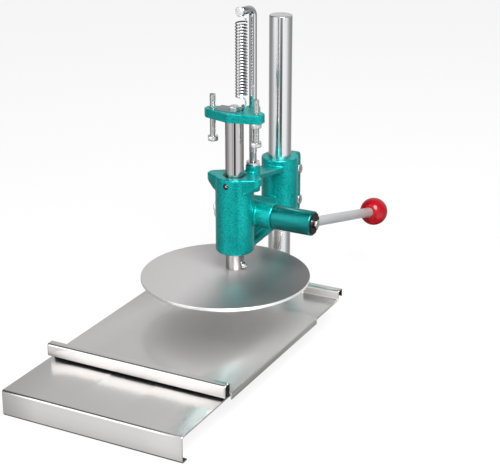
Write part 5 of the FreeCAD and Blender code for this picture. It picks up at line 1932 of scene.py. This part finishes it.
@dataclass
class Studio:
    """Camera, floor, soft lights and the surroundings that metal reflects."""

    eye_m: Triple = (0.78691, -1.47413, 0.77392)
    azimuth: float = 27.42
    tilt: float = 68.69
    roll: float = -0.03
    lens: float = 99.12
    target_m: Triple = (0.0, -0.05, 0.15)
    floor_half: float = 9000.0
    floor_z: float = -0.3
    floor_grey: float = 0.9
    floor_glow: float = 0.88
    lamps: tuple[Lamp, ...] = (
        Lamp("key", 48.0, 54.0, 1.0, 52.0, mirrored=True),
        Lamp("side", 60.0, 30.0, 0.8, 4.0),
        Lamp("rear", 190.0, 52.0, 1.0, 5.0),
    )
    ambient: float = 0.12
    strength: float = 1.12
    low_bands: tuple[Flat, ...] = (
        (-180, 0.50), (-150, 0.56), (-120, 0.44), (-86, 0.24), (-55, 0.50),
        (-31, 0.86), (-9, 0.90), (2, 0.50), (12, 0.82), (20, 0.70), (25, 0.01),
        (38, 0.01), (43, 0.20), (50, 1.0), (86, 1.0), (96, 0.78), (107, 0.55),
        (121, 0.38), (140, 0.28), (160, 0.28), (179, 0.50),
    )
    high_bands: tuple[Flat, ...] = (
        (-180, 0.60), (-150, 0.62), (-110, 0.12), (-70, 0.05), (-54, 0.08), (-47, 1.8),
        (-19, 1.8), (-12, 0.6), (2, 0.8), (20, 0.9), (48, 0.9), (62, 0.8), (82, 0.4),
        (110, 0.2), (150, 0.5), (179, 0.60),
    )
    band_change: tuple[Range, Range] = ((-6, 8), (0.0, 1.0))
    ground: tuple[Range, Range] = ((-50, -33), (0.10, 1.0))
    ceiling: tuple[Range, Range] = ((40, 66), (1.0, 0.3))

    def build(self) -> None:
        """Set up the camera, the floor, the lights and the world."""
        bpy.context.scene.view_settings.view_transform = "Standard"
        self.camera()
        self.floor()
        self.lights()
        self.world()

    def camera(self) -> None:
        """Stand the camera where the photograph was taken."""
        data = bpy.data.cameras.new("photo_camera")
        data.lens = self.lens
        data.sensor_width = 36.0
        data.sensor_fit = "HORIZONTAL"
        data.clip_end = 50.0
        obj = placed("photo_camera", data)
        obj.location = self.eye_m
        turn = Matrix.Identity(3)
        for angle, axis in ((self.azimuth, "Z"), (self.tilt, "X"), (self.roll, "Z")):
            turn = turn @ Matrix.Rotation(math.radians(angle), 3, axis)
        obj.rotation_euler = turn.to_euler()
        bpy.context.scene.camera = obj

    def floor(self) -> None:
        """Lay a pale floor that reads as white but keeps the shadow."""
        bm, size = bmesh.new(), self.floor_half
        corners = [(-size, -size), (size, -size), (size, size), (-size, size)]
        bm.faces.new([bm.verts.new((*corner, self.floor_z)) for corner in corners])
        obj = finished("floor", bm)
        recipe = Recipe("pale_floor")
        recipe.feed(recipe.shader, Base_Color=(*(self.floor_grey,) * 3, 1.0),
                    Roughness=0.9, Specular_IOR_Level=0.0)
        rays = recipe.add("ShaderNodeLightPath").outputs
        glow = recipe.feed(recipe.add("ShaderNodeEmission"), Color=(1, 1, 1, 1),
                           Strength=1.0)
        clear = recipe.add("ShaderNodeBsdfTransparent")
        seen = recipe.maths("MULTIPLY", rays["Is Camera Ray"], self.floor_glow)
        lit = recipe.shader
        for share, other in ((seen, glow), (rays["Is Glossy Ray"], clear)):
            mix = recipe.add("ShaderNodeMixShader")
            values = (share, lit.outputs[0], other.outputs[0])
            for value, socket in zip(values, mix.inputs):
                recipe.put(value, socket)
            lit = mix
        recipe.feed(recipe.tree.nodes["Material Output"], Surface=lit.outputs[0])
        obj.data.materials.append(recipe.material)

    def lights(self) -> None:
        """Hang the soft lamps round the machine."""
        for lamp in self.lamps:
            data = bpy.data.lights.new(lamp.name, "AREA")
            data.shape = "SQUARE"
            data.size = lamp.size_m
            data.energy = lamp.power
            turn_rad = math.radians(lamp.azimuth)
            lift_rad = math.radians(lamp.elevation)
            level = math.cos(lift_rad)
            way = Vector((math.sin(turn_rad) * level, -math.cos(turn_rad) * level,
                          math.sin(lift_rad)))
            obj = placed(lamp.name, data)
            obj.location = Vector(self.target_m) + way * lamp.distance_m
            obj.rotation_euler = way.to_track_quat("Z", "Y").to_euler()
            obj.visible_glossy = lamp.mirrored

    def world(self) -> None:
        """Surround the machine with pale light, and with bands that metal reflects."""
        world = bpy.data.worlds.new("studio")
        bpy.context.scene.world = world
        world.use_nodes = True
        nodes = Nodes(world.node_tree)
        where = nodes.add("ShaderNodeTexCoord").outputs["Generated"]
        parts = nodes.feed(nodes.add("ShaderNodeSeparateXYZ"), Vector=where).outputs
        forward = nodes.maths("MULTIPLY", parts["Y"], -1.0)
        turn = nodes.maths("ARCTAN2", parts["X"], forward)
        share = nodes.spread(turn, (-math.pi, math.pi), (0.0, 1.0))
        bands = [self.bands(nodes, share, stops)
                 for stops in (self.low_bands, self.high_bands)]
        change, ground, ceiling = (
            self.by_height(nodes, parts["Z"], *rule)
            for rule in (self.band_change, self.ground, self.ceiling))
        walls = nodes.mixed(change, *bands)
        fall = nodes.maths("MULTIPLY", ground, ceiling)
        walls = nodes.mixed(1.0, walls, fall, Blend.MULTIPLY)
        rays = nodes.add("ShaderNodeLightPath").outputs
        mirror = nodes.maths("MAXIMUM", rays["Is Glossy Ray"],
                             rays["Is Transmission Ray"])
        light = nodes.mixed(mirror, (self.ambient,) * 3, walls)
        seen = nodes.mixed(rays["Is Camera Ray"], light, (1.0, 1.0, 1.0))
        nodes.feed(nodes.tree.nodes["Background"], Color=seen, Strength=self.strength)

    def by_height(self, nodes: Nodes, rise: NodeSocket, angles: Range,
                  levels: Range) -> NodeSocket:
        """A level that changes between two angles above the horizon.

        Args:
            nodes: Tree that receives it.
            rise: Upward part of the direction.
            angles: The two angles.
            levels: Level at and beyond each of them.

        Returns:
            The level.
        """
        rises = [math.sin(math.radians(angle)) for angle in angles]
        return nodes.spread(rise, rises, levels)

    def bands(self, nodes: Nodes, share: NodeSocket,
              stops: Sequence[Flat]) -> NodeSocket:
        """Grey bands round the horizon.

        Args:
            nodes: Tree that receives them.
            share: Direction as a share of the full turn.
            stops: Angle from the front, to the right, and level of each band.

        Returns:
            The colour of the bands.
        """
        ramp = nodes.feed(nodes.add("ShaderNodeValToRGB"), Fac=share)
        elements = ramp.color_ramp.elements
        while len(elements) < len(stops):
            elements.new(0.5)
        for element, (angle, level) in zip(elements, stops):
            element.position = (angle + 180) / 360
            element.color = (level, level, level, 1)
        return ramp.outputs["Color"]


def main() -> None:
    """Build the studio and the machine, and report each piece."""
    logging.basicConfig(level=logging.INFO, format="%(name)s: %(message)s")
    Studio().build()
    for assembly in (Base, Tray, PressDisc, Ram, Head, ReturnSpring, Lever):
        log.info("building %s", assembly.__name__)
        assembly().build()
    dress_kept_nodes()


if __name__ == "__main__":
    main()
